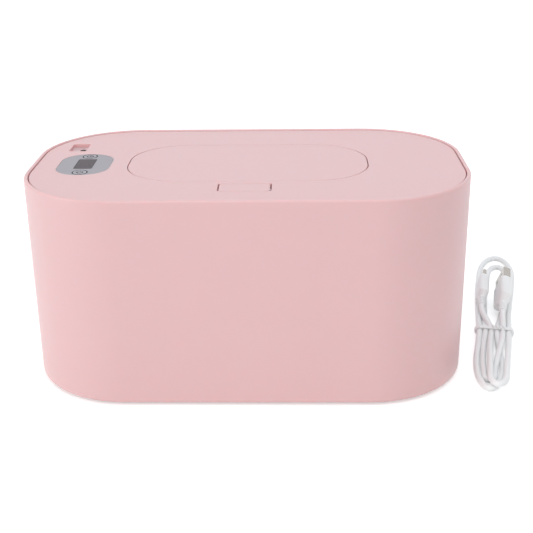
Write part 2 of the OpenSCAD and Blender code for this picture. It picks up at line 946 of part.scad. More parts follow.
module latch_spring() {
    color(steel)
        translate([0, latch_spring_y, latch_spring_seat])
            tube(coil_points(latch_coil_r, deck_under - latch_spring_seat - 2 * coil_end, 6, coil_end),
                coil_wire_r, 6);
}

// ---- Lid ----

// The rounded top edge of the lid, with a strip of its plate
module lid_edge() {
    translate([lid_r - edge_r, deck_z - edge_r])
        quarter(edge_r);
    translate([lid_r - lid_skirt_t, lid_under])
        square([lid_skirt_t - edge_r, lid_t]);
}

module lid_ring(inner, outer, z0, z1) {
    translate([0, 0, z0])
        linear_extrude(z1 - z0)
            difference() {
                throat_outline(outer);
                throat_outline(inner);
            }
}

// How far behind the case's middle the cover's edge lies, at a distance from the lid's middle
function edge_back(x) =
    lid_back + lid_gap - opening_r
    + sqrt(pow(opening_r, 2) - pow(max(0, abs(x) - corner_x), 2));

// Everything nearer to the hinge than the cover's edge, which the lid has to stay out of
module swing_relief() {
    reach = [for (i = [0:12]) corner_x + opening_r * sin(swing_turn * i / 12)];
    far = [for (x = reach) [norm([edge_h, hinge_y - edge_back(x)]) + swing_gap, x]];
    near = [for (i = [12:-1:0]) [far[i][0], -far[i][1]]];
    rotate([0, 90, 0])
        rotate_extrude()
            polygon(concat([[0, -reach[12]]], near, far, [[0, reach[12]]]));
}

// The bent leaf's profile about the hinge's axis, with the spoke that carries the barrel
module leaf_profile() {
    intersection() {
        difference() {
            circle(leaf_outer_r);
            circle(leaf_r);
        }
        translate([-leaf_outer_r - 1, -leaf_outer_r - 1])
            square([leaf_outer_r + 1 + leaf_t / 4, leaf_outer_r + 1 + lid_under - hinge_z + 0.3]);
    }
    translate([-leaf_t / 2, -leaf_r - leaf_t / 2])
        square([leaf_t, leaf_r + leaf_t / 2]);
    circle(barrel_r);
}

module flip_lid() {
    color(pink)
        difference() {
            union() {
                difference() {
                    union() {
                        // Plate with a rounded top edge
                        translate([0, lid_y, 0]) {
                            slab(lid_w, lid_d, lid_r, lid_under, deck_z - edge_r);
                            slab(lid_w - 2 * edge_r, lid_d - 2 * edge_r, lid_r - edge_r,
                                lid_under, deck_z);
                            around(lid_w, lid_d, lid_r)
                                lid_edge();
                            // Stiffening wall under the edge
                            around(lid_w, lid_d, lid_r)
                                translate([lid_r - lid_skirt_t, lid_under - lid_skirt_h])
                                    square([lid_skirt_t, lid_skirt_h + eps]);
                        }
                        // Two ribs that hold the seal
                        for (r = [inner_rib, outer_rib])
                            lid_ring(r, r + rib_t, lid_under - rib_h, lid_under + eps);
                    }
                    // Relief that lets the edge swing past the cover
                    translate([0, hinge_y, hinge_z])
                        swing_relief();
                }
                // Hinge leaf and its barrel
                translate([-leaf_w / 2, hinge_y, hinge_z])
                    rotate([90, 0, 90])
                        linear_extrude(leaf_w)
                            leaf_profile();
                // Tongue with its hook
                translate([-tongue_w / 2, hook_front + hook_l, tongue_z])
                    cube([tongue_w, tongue_t, tongue_h + eps]);
                translate([-tongue_w / 2, hook_front, tongue_z])
                    cube([tongue_w, hook_l + eps, hook_h]);
            }
            translate([0, hinge_y, hinge_z]) {
                rod_x(hinge_pin_r + pin_fit, leaf_w + 2);
                // Bay for the torsion spring
                translate([-spring_bay_w / 2, -barrel_r - 1, -spring_bay_h])
                    cube([spring_bay_w, 2 * barrel_r + 2, spring_bay_h + barrel_r + 1]);
            }
        }
}

module lid_seal() {
    color([0.86, 0.80, 0.80])
        lid_ring(inner_rib + rib_t + fit, outer_rib - fit, mouth_z + 0.2, lid_under);
}

// ---- Latch button ----

module latch_button() {
    nose_z = tongue_z - 0.2;
    leg_w = tongue_w - 0.8;
    rib = 2;
    color(pink)
        difference() {
            union() {
                translate([0, 0, lid_under])
                    linear_extrude(deck_z - lid_under)
                        button_outline();
                // Side ribs that reach down to the barrel
                for (x = [-1, 1])
                    translate([x * (button_w - rib) / 2 - rib / 2, button_front + button_r,
                            latch_z - latch_barrel_r])
                        cube([rib, button_d - button_r, latch_barrel_r]);
                intersection() {
                    translate([0, latch_y, latch_z])
                        rod_x(latch_barrel_r, button_w);
                    translate([-button_w / 2, latch_y - 4, 0])
                        cube([button_w, 8, deck_z]);
                }
                // Leg and nose that push the lid's tongue off its catch
                translate([-leg_w / 2, latch_y - leg_t / 2, nose_z])
                    cube([leg_w, leg_t, latch_z - nose_z]);
                translate([-leg_w / 2, latch_y, nose_z])
                    cube([leg_w, nose_tip - latch_y, nose_h]);
            }
            translate([0, latch_y, latch_z])
                rod_x(latch_pin_r + pin_fit, button_w + 2);
        }
}

// ---- Charging cable ----

module in_hank_frame() {
    translate([hank_x, hank_y, 0])
        rotate([0, 0, -hank_tilt])
            children();
}

// The hank's outline with round ends, from its near end up to a given length
module hank_outline(l) {
    near = near_half;
    far = near_half + (far_half - near_half) * l / hank_l;
    translate([0, near])
        circle(near);
    translate([0, l - far])
        circle(far);
    polygon([[-near, near], [near, near], [far, l - far], [-far, l - far]]);
}

module cord_hank() {
    color(cable_white)
        in_hank_frame()
            difference() {
                union() {
                    linear_extrude(cord_d)
                        hank_outline(hank_l);
                    linear_extrude(bundle_top)
                        hank_outline(raised_l);
                    linear_extrude(2 * cord_d)
                        hank_outline(double_l);
                    linear_extrude(3 * cord_d)
                        hank_outline(triple_l);
                }
                // Waist that the tie goes around
                for (x = [-1, 1])
                    translate([x * (bundle_half + 5) - 5, tie_y - tie_w / 2, -eps])
                        cube([10, tie_w, bundle_top + 1]);
                translate([-bundle_half - 1, tie_y - tie_w / 2, -eps])
                    cube([2 * bundle_half + 2, tie_w, tie_t + eps]);
            }
}

module cable_tie() {
    outer = bundle_half + tie_t;
    color(cable_white)
        in_hank_frame()
            translate([0, tie_y + tie_w / 2, 0])
                rotate([90, 0, 0])
                    linear_extrude(tie_w)
                        difference() {
                            translate([0, bundle_top / 2 + tie_t / 2])
                                rounded_rect(2 * outer, bundle_top + tie_t, tie_t);
                            translate([0, tie_t + cord_r])
                                square([2 * bundle_half, cord_d], center = true);
                        }
}

module cord_lead_c() {
    color(cable_white)
        in_hank_frame()
            tube(lead_c_route, cord_r, 8);
}

module cord_lead_a() {
    color(cable_white)
        in_hank_frame()
            tube(lead_a_route, cord_r, 8);
}

// Puts a plug's pieces in place: the end of its strain relief at a point, pitched and rolled
module plug_place(tail, turn) {
    in_hank_frame()
        translate(tail)
            rotate([turn[0], 0, 0])
                rotate([0, turn[1], 0])
                    children();
}

// A plug's moulded body along +Y: a tapered strain relief and a rounded block
module plug_body(w, h, l, r) {
    difference() {
        union() {
            rotate([-90, 0, 0])
                cylinder(r1 = cord_r + relief_wall, r2 = h / 2 - 0.3, h = relief_l + 1, $fn = 48);
            translate([0, relief_l, 0])
                rotate([-90, 0, 0])
                    linear_extrude(l)
                        rounded_rect(w, h, r);
        }
        // Socket for the cable's end
        rotate([90, 0, 0])
            cylinder(r = cord_r + fit, h = 1, center = true);
    }
}

// A plug's metal shell along +Y, open at its far end
module plug_shell(w, h, l, r) {
    rotate([-90, 0, 0])
        difference() {
            linear_extrude(l)
                rounded_rect(w, h, r);
            translate([0, 0, 2 * metal_t])
                linear_extrude(l)
                    rounded_rect(w - 2 * metal_t, h - 2 * metal_t, r - 0.9 * metal_t);
        }
}

module usb_c_body() {
    color(cable_white)
        plug_place(usb_c_tail, usb_c_turn)
            plug_body(usb_c_w, usb_c_h, usb_c_l, usb_c_r);
}

module usb_c_shell() {
    color(steel)
        plug_place(usb_c_tail, usb_c_turn)
            translate([0, relief_l + usb_c_l, 0])
                plug_shell(usb_c_metal[0], usb_c_metal[1], usb_c_metal[2], usb_c_metal_r);
}

module usb_a_body() {
    color(cable_white)
        plug_place(usb_a_tail, usb_a_turn)
            plug_body(usb_a_w, usb_a_h, usb_a_l, usb_a_r);
}

module usb_a_shell() {
    color(steel)
        plug_place(usb_a_tail, usb_a_turn)
            translate([0, relief_l + usb_a_l, 0])
                difference() {
                    plug_shell(usb_a_metal[0], usb_a_metal[1], usb_a_metal[2], usb_a_metal_r);
                    // Two windows in each broad face
                    for (x = [-1, 1])
                        translate([x * (usb_a_metal[0] * 0.23) - usb_a_window / 2, 5, -usb_a_metal[1]])
                            cube([usb_a_window, usb_a_window, 2 * usb_a_metal[1]]);
                }
}

module usb_a_insert() {
    color([0.15, 0.15, 0.16])
        plug_place(usb_a_tail, usb_a_turn)
            translate([-usb_a_tongue[0] / 2, relief_l + usb_a_l + 2 * metal_t, -usb_a_tongue[2] - 0.05])
                cube(usb_a_tongue);
}

outer_case();
rubber_feet();
top_cover();
cover_tray();
cover_seal();
tray_screws();
outlet_mouth();
heat_plate();
heater_film();
plate_screws();
temperature_sensor();
thermal_cutout();
heater_wires();
control_board();
board_screws();
display_module();
touch_springs();
usb_c_socket();
control_panel();
display_window();
hinge_pin();
lid_spring();
latch_pin();
latch_spring();
flip_lid();
lid_seal();
latch_button();
cord_hank();
cord_lead_c();
cord_lead_a();
cable_tie();
usb_c_shell();
usb_c_body();
usb_a_shell();
usb_a_insert();
usb_a_body();
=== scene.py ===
"""Baby wipe warmer: dresses the construction model with its shells, seals, hardware and cable.

Lengths are in metres unless a name says otherwise. X runs along the case, Y from the front to
the back, Z up, and the origin is under the middle of the case on the surface it stands on.
"""

import math

import bmesh
import bpy
from bpy.props import FloatProperty, FloatVectorProperty, PointerProperty
from mathutils import Matrix, Vector
from mathutils.geometry import tessellate_polygon


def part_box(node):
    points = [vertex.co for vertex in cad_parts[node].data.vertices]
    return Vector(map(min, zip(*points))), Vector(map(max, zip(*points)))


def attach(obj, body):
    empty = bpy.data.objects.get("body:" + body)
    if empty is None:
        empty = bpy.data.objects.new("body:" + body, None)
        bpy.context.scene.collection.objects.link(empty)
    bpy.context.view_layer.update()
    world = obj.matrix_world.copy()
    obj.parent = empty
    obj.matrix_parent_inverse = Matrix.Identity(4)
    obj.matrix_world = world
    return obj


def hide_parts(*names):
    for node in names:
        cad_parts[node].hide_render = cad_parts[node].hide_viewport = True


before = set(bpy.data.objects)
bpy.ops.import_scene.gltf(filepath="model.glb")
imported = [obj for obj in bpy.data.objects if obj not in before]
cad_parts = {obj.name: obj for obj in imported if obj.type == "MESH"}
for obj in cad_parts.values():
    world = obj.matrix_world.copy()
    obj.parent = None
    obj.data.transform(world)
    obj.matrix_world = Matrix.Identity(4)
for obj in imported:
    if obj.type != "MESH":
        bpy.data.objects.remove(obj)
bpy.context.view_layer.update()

bl_info = {
    "name": "Baby Wipe Warmer",
    "version": (1, 0, 0),
    "blender": (4, 5, 0),
    "location": "View3D > Sidebar > Wipe Warmer",
    "description": "Dresses a wipe warmer's construction model with shells, hardware and a cable",
    "category": "Object",
}

MM = 0.001


def extent(node):
    """The lowest corner, the highest corner and the middle of a construction node."""
    low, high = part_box(node)
    return low, high, (low + high) / 2


# Places and sizes that the frame gives
CASE_LOW, CASE_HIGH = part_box("outer_case")
COVER_LOW, COVER_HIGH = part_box("top_cover")
LID_LOW, LID_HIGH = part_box("flip_lid")
BUTTON_LOW, BUTTON_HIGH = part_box("latch_button")
PANEL_LOW, PANEL_HIGH, PANEL_MID = extent("control_panel")
WINDOW_LOW, WINDOW_HIGH, WINDOW_MID = extent("display_window")
MOUTH_LOW, MOUTH_HIGH, MOUTH_MID = extent("outlet_mouth")
SOCKET_LOW, SOCKET_HIGH, SOCKET_MID = extent("usb_c_socket")
# The button's plate ends ahead of its nose, 11 mm behind its front edge
BUTTON_BACK = BUTTON_LOW.y + 11 * MM
# Room at each end of the button, at the top of its opening and at the bottom
SIDE_GAP, SIDE_GAP_BELOW = 0.7 * MM, 0.25 * MM
# Half the room between the bosses of the hinge and of the latch
HINGE_BAY, LATCH_BAY = 12.4 * MM, 12.8 * MM
# From the socket's middle to the middle of the charging pocket
POCKET_SHIFT = Vector((-1.5, 1.85)) * MM
# How far print stands out of the panel
PRINT = 0.02 * MM
# The outlet's slot, its finger hole's radius and the groove's width around its bead
SLOT_LENGTH, SLOT_WIDTH = 64 * MM, 12 * MM
FINGER_HOLE, GROOVE = 12 * MM, 2.2 * MM
# What the camera and the lamps point at
CAMERA_AIM = Vector((8.64, 0, 47.22)) * MM
LAMP_AIM = Vector((0, 0, 50)) * MM

# ---- Settings ----


def in_mm(name, description, size):
    """A length setting whose default is given in millimetres."""
    return FloatProperty(name=name, description=description, default=size * MM, unit="LENGTH")


def in_degrees(name, description, turn):
    """An angle setting whose default is given in degrees."""
    return FloatProperty(name=name, description=description, default=math.radians(turn),
                         subtype="ANGLE")


def in_watts(name, description, watts):
    """A lamp's power."""
    return FloatProperty(name=name, description=description, default=watts, subtype="POWER")


def in_colour(name, description, shade):
    """A colour setting."""
    return FloatVectorProperty(name=name, description=description, subtype="COLOR", size=3,
                               min=0, max=1, default=shade)


class CaseSettings(bpy.types.PropertyGroup):
    """Sizes and colour of the tub, the cover and the lid"""

    corner: in_mm("Corner Radius", "Radius of the case's corners from above", 49.5)
    wall: in_mm("Wall", "Thickness of the case's wall", 2)
    rim_round: in_mm("Rim Rounding", "Rounding of the rim's outer edge", 1.2)
    lip_round: in_mm("Lip Rounding", "Rounding of the rim's inner edge", 0.75)
    base_round: in_mm("Base Rounding", "Rounding of the case's bottom edge", 2)
    floor: in_mm("Floor", "Thickness of the case's floor", 2.2)
    ledge: in_mm("Ledge", "Width of the ledge that carries the cover", 4)
    ledge_z: in_mm("Ledge Height", "Height of the ledge's top", 85.8)
    deck: in_mm("Deck", "Thickness of the cover's top", 2.2)
    skirt: in_mm("Skirt", "Thickness of the cover's side wall", 1.8)
    gap: in_mm("Gap", "Gap around the lid and the button", 0.4)
    lid_depth: in_mm("Lid Depth", "Depth of the lid from front to back", 65)
    lid_corner: in_mm("Lid Corner", "Radius of the lid's corners", 28)
    colour: in_colour("Shell Colour", "Colour of the moulded shells", (0.78, 0.505, 0.510))


class PanelSettings(bpy.types.PropertyGroup):
    """Sizes and colours of the touch panel and the charging pocket"""

    corner: in_mm("Panel Corner", "Radius of the panel's corners", 12)
    key: in_mm("Key Ring", "Diameter of a touch key's ring", 8)
    pitch: in_mm("Key Pitch", "Distance between the touch keys", 28.4)
    pocket_width: in_mm("Pocket Width", "Width of the charging pocket", 9.25)
    pocket_length: in_mm("Pocket Length", "Length of the charging pocket", 14.25)
    pocket_depth: in_mm("Pocket Depth", "Depth of the charging pocket", 2)
    colour: in_colour("Panel Colour", "Colour of the panel's printed film", (0.345, 0.328, 0.36))


class CableSettings(bpy.types.PropertyGroup):
    """Sizes and colour of the charging cable"""

    diameter: in_mm("Cable", "Diameter of the cable", 3.2)
    tie: in_mm("Tie Wire", "Diameter of the wire tie", 1.3)
    colour: in_colour("Cable Colour", "Colour of the cable's sheath", (0.90, 0.92, 0.92))


class StudioSettings(bpy.types.PropertyGroup):
    """The camera, the lamps and the backdrop"""

    distance: in_mm("Distance", "Distance from the camera to the case's middle", 525.69)
    azimuth: in_degrees("Azimuth", "Turn of the camera to the right of the front", 1.60)
    elevation: in_degrees("Elevation", "How far the camera looks down", 22.20)
    roll: in_degrees("Roll", "Turn of the camera about its own axis", -0.77)
    lens: FloatProperty(
        name="Lens", description="Focal length in millimetres on a 36 mm sensor", default=66.71)
    left_watts: in_watts("Left Lamp", "Power of the low lamp at the left", 4.2)
    front_watts: in_watts("Front Lamp", "Power of the low lamp in front", 1.5)
    top_watts: in_watts("Top Lamp", "Power of the lamp above", 3.4)
    back_watts: in_watts("Back Lamp", "Power of the cool lamp behind and above", 1.7)
    sky: FloatProperty(
        name="Sky", description="Strength of the even light from all round", default=0.62)


GROUPS = {
    "warmer_case": CaseSettings,
    "warmer_panel": PanelSettings,
    "warmer_cable": CableSettings,
    "warmer_studio": StudioSettings,
}

# ---- Outlines ----


def angles(start, end, steps):
    """Even steps of an angle in radians, from a start to an end in degrees."""
    return [math.radians(start + (end - start) * i / steps) for i in range(steps + 1)]


def around(middle, radius, turn):
    """Points at a radius from a middle, one for each angle of a turn."""
    return [(middle[0] + radius * math.cos(a), middle[1] + radius * math.sin(a)) for a in turn]


def rounded(width, depth, radius, steps=16, middle=(0, 0)):
    """Points of a rounded rectangle, anticlockwise from the right end of its front edge."""
    points = []
    for quarter, (sx, sy) in enumerate([(1, -1), (1, 1), (-1, 1), (-1, -1)]):
        cx = middle[0] + sx * (width / 2 - radius)
        cy = middle[1] + sy * (depth / 2 - radius)
        points += around((cx, cy), radius, angles(90 * quarter - 90, 90 * quarter, steps))
    return points


def grown(points, distance):
    """The outline moved outwards by a small distance, with square corners kept square."""
    out = []
    count = len(points)
    for i, here in enumerate(points):
        before = Vector(here) - Vector(points[i - 1])
        after = Vector(points[(i + 1) % count]) - Vector(here)
        if before.length < 1e-9 or after.length < 1e-9:
            out.append(tuple(here))
            continue
        n0 = Vector((before.y, -before.x)).normalized()
        n1 = Vector((after.y, -after.x)).normalized()
        half = (n0 + n1).normalized()
        out.append(tuple(Vector(here) + half * distance / max(half.dot(n1), 0.3)))
    return out


def box_outline(low, high, room, radius, steps):
    """A rounded rectangle around a box seen from above, with room to spare on each side."""
    return rounded(high.x - low.x + 2 * room, high.y - low.y + 2 * room, radius, steps,
                   (low + high) / 2)


def case_layers(low, high, corner, path):
    """Outlines of the case's own form at the (inset, height) steps of a path."""
    width, depth = high.x - low.x, high.y - low.y
    return [(rounded(width - 2 * i, depth - 2 * i, corner - i, 28), z) for i, z in path]


def stadium(length, width, a):
    """How far a stadium's edge is from its middle, in a direction."""
    r = width / 2
    straight = length / 2 - r
    c, s = abs(math.cos(a)), abs(math.sin(a))
    if s > 1e-9 and r / s * c <= straight:
        return r / s
    return straight * c + math.sqrt(max(r * r - (straight * s) ** 2, 0))


def button_outline(gap, side_gap):
    """The latch button's outline: square behind, round at its front corners."""
    width = BUTTON_HIGH.x - BUTTON_LOW.x + 2 * side_gap
    front, back = BUTTON_LOW.y - gap, BUTTON_BACK + gap
    r = 2 * MM + gap
    points = []
    for side in (-1, 1):
        for i in range(9):
            a = math.pi / 2 * (i / 8 if side < 0 else 1 - i / 8)
            points.append((side * (width / 2 - r + r * math.cos(a)), front + r - r * math.sin(a)))
    points += [(width / 2, back), (-width / 2, back)]
    return points


# ---- Meshes ----


def ring_of(bm, points, z):
    """Adds a ring of vertices at a height."""
    return [bm.verts.new((x, y, z)) for x, y in points]


def skin(bm, rings, whole=True):
    """Joins rings that have as many vertices with quads."""
    for low, high in zip(rings, rings[1:]):
        count = len(low)
        for i in range(count if whole else count - 1):
            j = (i + 1) % count
            bm.faces.new((low[i], low[j], high[j], high[i]))


def fill(bm, outer, holes=()):
    """Closes a flat ring, around holes if there are any."""
    if not holes:
        bm.faces.new(outer)
        return
    loops = [outer, *holes]
    verts = [v for loop in loops for v in loop]
    for triangle in tessellate_polygon([[v.co for v in loop] for loop in loops]):
        if len(set(triangle)) == 3:
            bm.faces.new([verts[i] for i in triangle])


def capped(bm, rings):
    """Joins rings into a form that is closed at both ends."""
    skin(bm, rings)
    bm.faces.new(rings[0][::-1])
    bm.faces.new(rings[-1])


def stacked(bm, layers):
    """A closed form through outlines at their heights."""
    capped(bm, [ring_of(bm, points, z) for points, z in layers])


def lathe(bm, profile, middle, axis="Z", steps=40):
    """Turns a profile of (radius, height) about an axis through a point, closed at both ends."""
    turn = {"Z": Matrix.Identity(3), "X": Matrix.Rotation(math.pi / 2, 3, "Y"),
            "Y": Matrix.Rotation(-math.pi / 2, 3, "X")}[axis]
    rings = []
    for radius, height in profile:
        ring = []
        for i in range(steps):
            a = 2 * math.pi * i / steps
            place = turn @ Vector((radius * math.cos(a), radius * math.sin(a), height))
            ring.append(bm.verts.new(place + Vector(middle)))
        rings.append(ring)
    capped(bm, rings)


def arc_steps(radius, steps, start=0.0, end=90.0):
    """(cos, sin) points of an arc, in a profile's own plane."""
    return around((0, 0), radius, angles(start, end, steps))


def merged(node, reach=2e-6):
    """A copy of a construction node with its loose triangles joined."""
    bm = bmesh.new()
    bm.from_mesh(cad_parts[node].data)
    bmesh.ops.remove_doubles(bm, verts=bm.verts, dist=reach)
    return bm


# ---- Objects ----


def new_object(name, data):
    """Puts a mesh, a curve, a lamp or a camera in the scene."""
    obj = bpy.data.objects.new(name, data)
    bpy.context.scene.collection.objects.link(obj)
    return obj


def mesh_object(name, bm):
    """Turns a bmesh into an object."""
    mesh = bpy.data.meshes.new(name)
    bm.to_mesh(mesh)
    bm.free()
    return new_object(name, mesh)


def baked(obj):
    """The object's mesh as its modifiers make it, which are then taken off."""
    bpy.context.view_layer.update()
    graph = bpy.context.evaluated_depsgraph_get()
    mesh = bpy.data.meshes.new_from_object(obj.evaluated_get(graph), depsgraph=graph)
    obj.modifiers.clear()
    return mesh


def declare(obj, body, nodes=()):
    """Puts a finished piece on the body it rides on and hides the nodes that it stands for."""
    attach(obj, body)
    if nodes:
        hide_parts(*nodes)
    return obj


def piece(name, bm, slot, body, nodes=(), smooth=35.0, recalc=True, paint=None):
    """Makes a finished piece from a bmesh: shaded, coloured, riding on its body."""
    bmesh.ops.remove_doubles(bm, verts=bm.verts, dist=1e-7)
    if recalc:
        bmesh.ops.recalc_face_normals(bm, faces=bm.faces)
    obj = mesh_object(name, bm)
    mesh = obj.data
    mesh.materials.append(finish(paint or slot))
    mesh.shade_smooth()
    mesh.set_sharp_from_angle(angle=math.radians(smooth))
    obj.modifiers.new("Even Shading", "WEIGHTED_NORMAL").keep_sharp = True
    obj.data = baked(obj)
    obj.data.name = name
    bpy.data.meshes.remove(mesh)
    return declare(obj, body, nodes)


def smooth_copy(node, name, slot, body, smooth=25.0):
    """A merged and evenly shaded copy of a construction node, which it replaces."""
    bm = merged(node)
    bmesh.ops.dissolve_degenerate(bm, edges=bm.edges, dist=1e-7)
    return piece(name, bm, slot, body, [node], smooth, recalc=False)


# ---- Materials ----


def adder(tree):
    """A function that adds a node to a tree and sets or links its inputs."""

    def add(kind, **inputs):
        node = tree.nodes.new(kind)
        node.location = (200 * len(tree.nodes), 0)
        for key, value in inputs.items():
            socket = node.inputs[key.replace("_", " ")]
            if hasattr(value, "is_output"):
                tree.links.new(value, socket)
            else:
                socket.default_value = value
        return node

    return add


def surface(name):
    """A new material, its shader, and functions that add nodes and link them to the shader."""
    material = bpy.data.materials.new(name)
    material.use_nodes = True
    tree = material.node_tree
    shader = tree.nodes["Principled BSDF"]

    def feed(output, socket):
        tree.links.new(output, shader.inputs[socket])

    return material, shader, adder(tree), feed


def gloss_and_relief(add, feed, gloss, low, high, height, bump, depth):
    """Feeds the shader an uneven roughness and a fine relief, from two noises."""
    uneven = add("ShaderNodeMapRange", Value=gloss, To_Min=low, To_Max=high)
    feed(uneven.outputs["Result"], "Roughness")
    relief = add("ShaderNodeBump", Height=height, Strength=bump, Distance=depth)
    feed(relief.outputs["Normal"], "Normal")


def plastic(name, colour, roughness, grain=900.0, bump=0.04, mottle=0.02, **sockets):
    """A moulded or coated surface: colour with faint mottling, uneven gloss and fine grain."""
    material, shader, add, feed = surface(name)
    place = add("ShaderNodeTexCoord").outputs["Object"]
    cloud = add("ShaderNodeTexNoise", Vector=place, Scale=45.0, Detail=3.0).outputs["Fac"]
    tint = add("ShaderNodeMapRange", Value=cloud, To_Min=1 - mottle, To_Max=1 + mottle)
    shade = add("ShaderNodeVectorMath")
    shade.operation = "SCALE"
    shade.inputs[0].default_value = tuple(colour)
    material.node_tree.links.new(tint.outputs["Result"], shade.inputs["Scale"])
    feed(shade.outputs["Vector"], "Base Color")
    fine = add("ShaderNodeTexNoise", Vector=place, Scale=grain, Detail=2.0).outputs["Fac"]
    gloss_and_relief(add, feed, cloud, roughness - 0.05, roughness + 0.05, fine, bump, 0.2 * MM)
    for key, value in sockets.items():
        shader.inputs[key.replace("_", " ")].default_value = value
    return material


def brushed_metal(name, colour, roughness, stretch=(1.0, 40.0, 40.0), bump=0.05):
    """Metal with fine lines along one axis."""
    material, shader, add, feed = surface(name)
    place = add("ShaderNodeTexCoord").outputs["Object"]
    scale = add("ShaderNodeMapping", Vector=place, Scale=stretch)
    noise = add("ShaderNodeTexNoise", Vector=scale.outputs["Vector"], Scale=60.0, Detail=4.0)
    lines = noise.outputs["Fac"]
    gloss_and_relief(add, feed, lines, roughness - 0.08, roughness + 0.10, lines, bump, 0.1 * MM)
    shader.inputs["Base Color"].default_value = (*colour, 1)
    shader.inputs["Metallic"].default_value = 1.0
    return material


# Colour and roughness of each metal, and how its lines run
METALS = {
    "zinc_steel": ((0.62, 0.62, 0.63), 0.32),
    "heat_plate_aluminium": ((0.74, 0.74, 0.76), 0.34, (2.0, 60.0, 60.0)),
    "spring_steel": ((0.66, 0.66, 0.67), 0.2, (1, 1, 1), 0.01),
    "plug_steel": ((0.48, 0.45, 0.42), 0.26, (30.0, 2.0, 30.0), 0.03),
}


def surfaces(scene):
    """Colour, roughness and other inputs of each moulded, coated or printed surface."""
    return {
        "pink_shell": (scene.warmer_case.colour, 0.36, dict(
            grain=1400.0, bump=0.03, mottle=0.012, IOR=1.6, Subsurface_Weight=0.3,
            Subsurface_Scale=0.0025, Subsurface_Radius=(1.0, 0.3, 0.25))),
        "grey_rubber": ((0.09, 0.09, 0.09), 0.75, dict(grain=2500.0, bump=0.15, mottle=0.1)),
        "white_plastic": ((0.78, 0.77, 0.75), 0.45, dict(grain=1600.0, bump=0.05)),
        "silicone": ((0.74, 0.58, 0.57), 0.55, dict(
            grain=2200.0, bump=0.03, Subsurface_Weight=0.15)),
        "amber_film": ((0.52, 0.22, 0.04), 0.22, dict(grain=500.0, bump=0.02, mottle=0.08)),
        "black_plastic": ((0.02, 0.02, 0.022), 0.4, dict(grain=1800.0, bump=0.06, mottle=0.1)),
        "red_wire": ((0.48, 0.02, 0.015), 0.35, {}),
        "green_board": ((0.012, 0.11, 0.05), 0.3, dict(grain=700.0, bump=0.05, mottle=0.08)),
        "grey_panel": (scene.warmer_panel.colour, 0.42, dict(
            grain=2600.0, bump=0.05, mottle=0.015)),
        "dark_window": ((0.05, 0.037, 0.05), 0.25, dict(
            grain=300.0, bump=0.004, mottle=0.03, Specular_IOR_Level=0.1)),
        "white_cable": (scene.warmer_cable.colour, 0.42, dict(
            grain=2200.0, bump=0.04, mottle=0.012)),
        "key_ink": ((0.03, 0.03, 0.036), 0.6, dict(mottle=0.05, Specular_IOR_Level=0.2)),
        # Pale ring just inside each key's ink ring: painted highlight, not print
        "key_painted_highlight": ((0.52, 0.53, 0.56), 0.45, {}),
        "ghost_digit": ((0.07, 0.058, 0.07), 0.25, dict(Specular_IOR_Level=0.1)),
    }


FINISHES = {}


def finish(name):
    """A finish by its name, made when it is first needed."""
    if name not in FINISHES:
        if name in METALS:
            FINISHES[name] = brushed_metal(name, *METALS[name])
        else:
            colour, roughness, inputs = surfaces(bpy.context.scene)[name]
            FINISHES[name] = plastic(name, colour, roughness, **inputs)
    return FINISHES[name]


# ---- Cable: its route, in the hank's own frame, in millimetres ----

# The hank lies beside the case, turned a little away from it. X runs across it and Y along it.
HANK_PLACE = Vector((122, -53, 0)) * MM
HANK_TILT = math.radians(-11)
# Length of a strain relief
RELIEF = 8
# The two leads, from the plug to the tie
LEAD_C = [
    (-7.5, 91, 7.4), (-7.4, 88, 6.9), (-6.8, 84.5, 6.1), (-5.6, 81, 5.2),
    (-4.2, 77.5, 4.4), (-2.9, 74, 3.8), (-2, 70.5, 3.4),
]
LEAD_A = [
    (4.2, 80, 9.6), (4.2, 78, 9.1), (4.3, 76, 7.9), (4.5, 74, 6.3), (4.7, 72, 4.9),
    (4.8, 70, 3.9), (4.8, 68.4, 3.4),
]
# Each plug's body: its node, the end of its lead, its pitch and roll in degrees, and its width,
# height and length
PLUG_BODIES = {
    "usb_c_plug_body": ("usb_c_body", LEAD_C[0], (8, -75), (10.4, 5.8, 20)),
    "usb_a_plug_body": ("usb_a_body", LEAD_A[0], (6, -70), (14, 6.6, 22)),
}
# The tie, the six runs under it from left to right, and their height there and on the floor
TIE_Y = 66
RUNS = [-8, -4.8, -1.6, 1.6, 4.8, 8]
RUN_Z, FLOOR_Z = 3.0, 1.62


def hank_point(x, y, z):
    """A point of the hank's frame, in millimetres, in the object's frame."""
    return HANK_PLACE + Matrix.Rotation(HANK_TILT, 3, "Z") @ Vector((x, y, z)) * MM


def u_turn(middle, across, along, z, start, steps=16):
    """Half a turn of cable, flat at a height: half an ellipse, anticlockwise from an angle."""
    return [(middle[0] + across * math.cos(a), middle[1] + along * math.sin(a), z)
            for a in angles(start, start + 180, steps)]


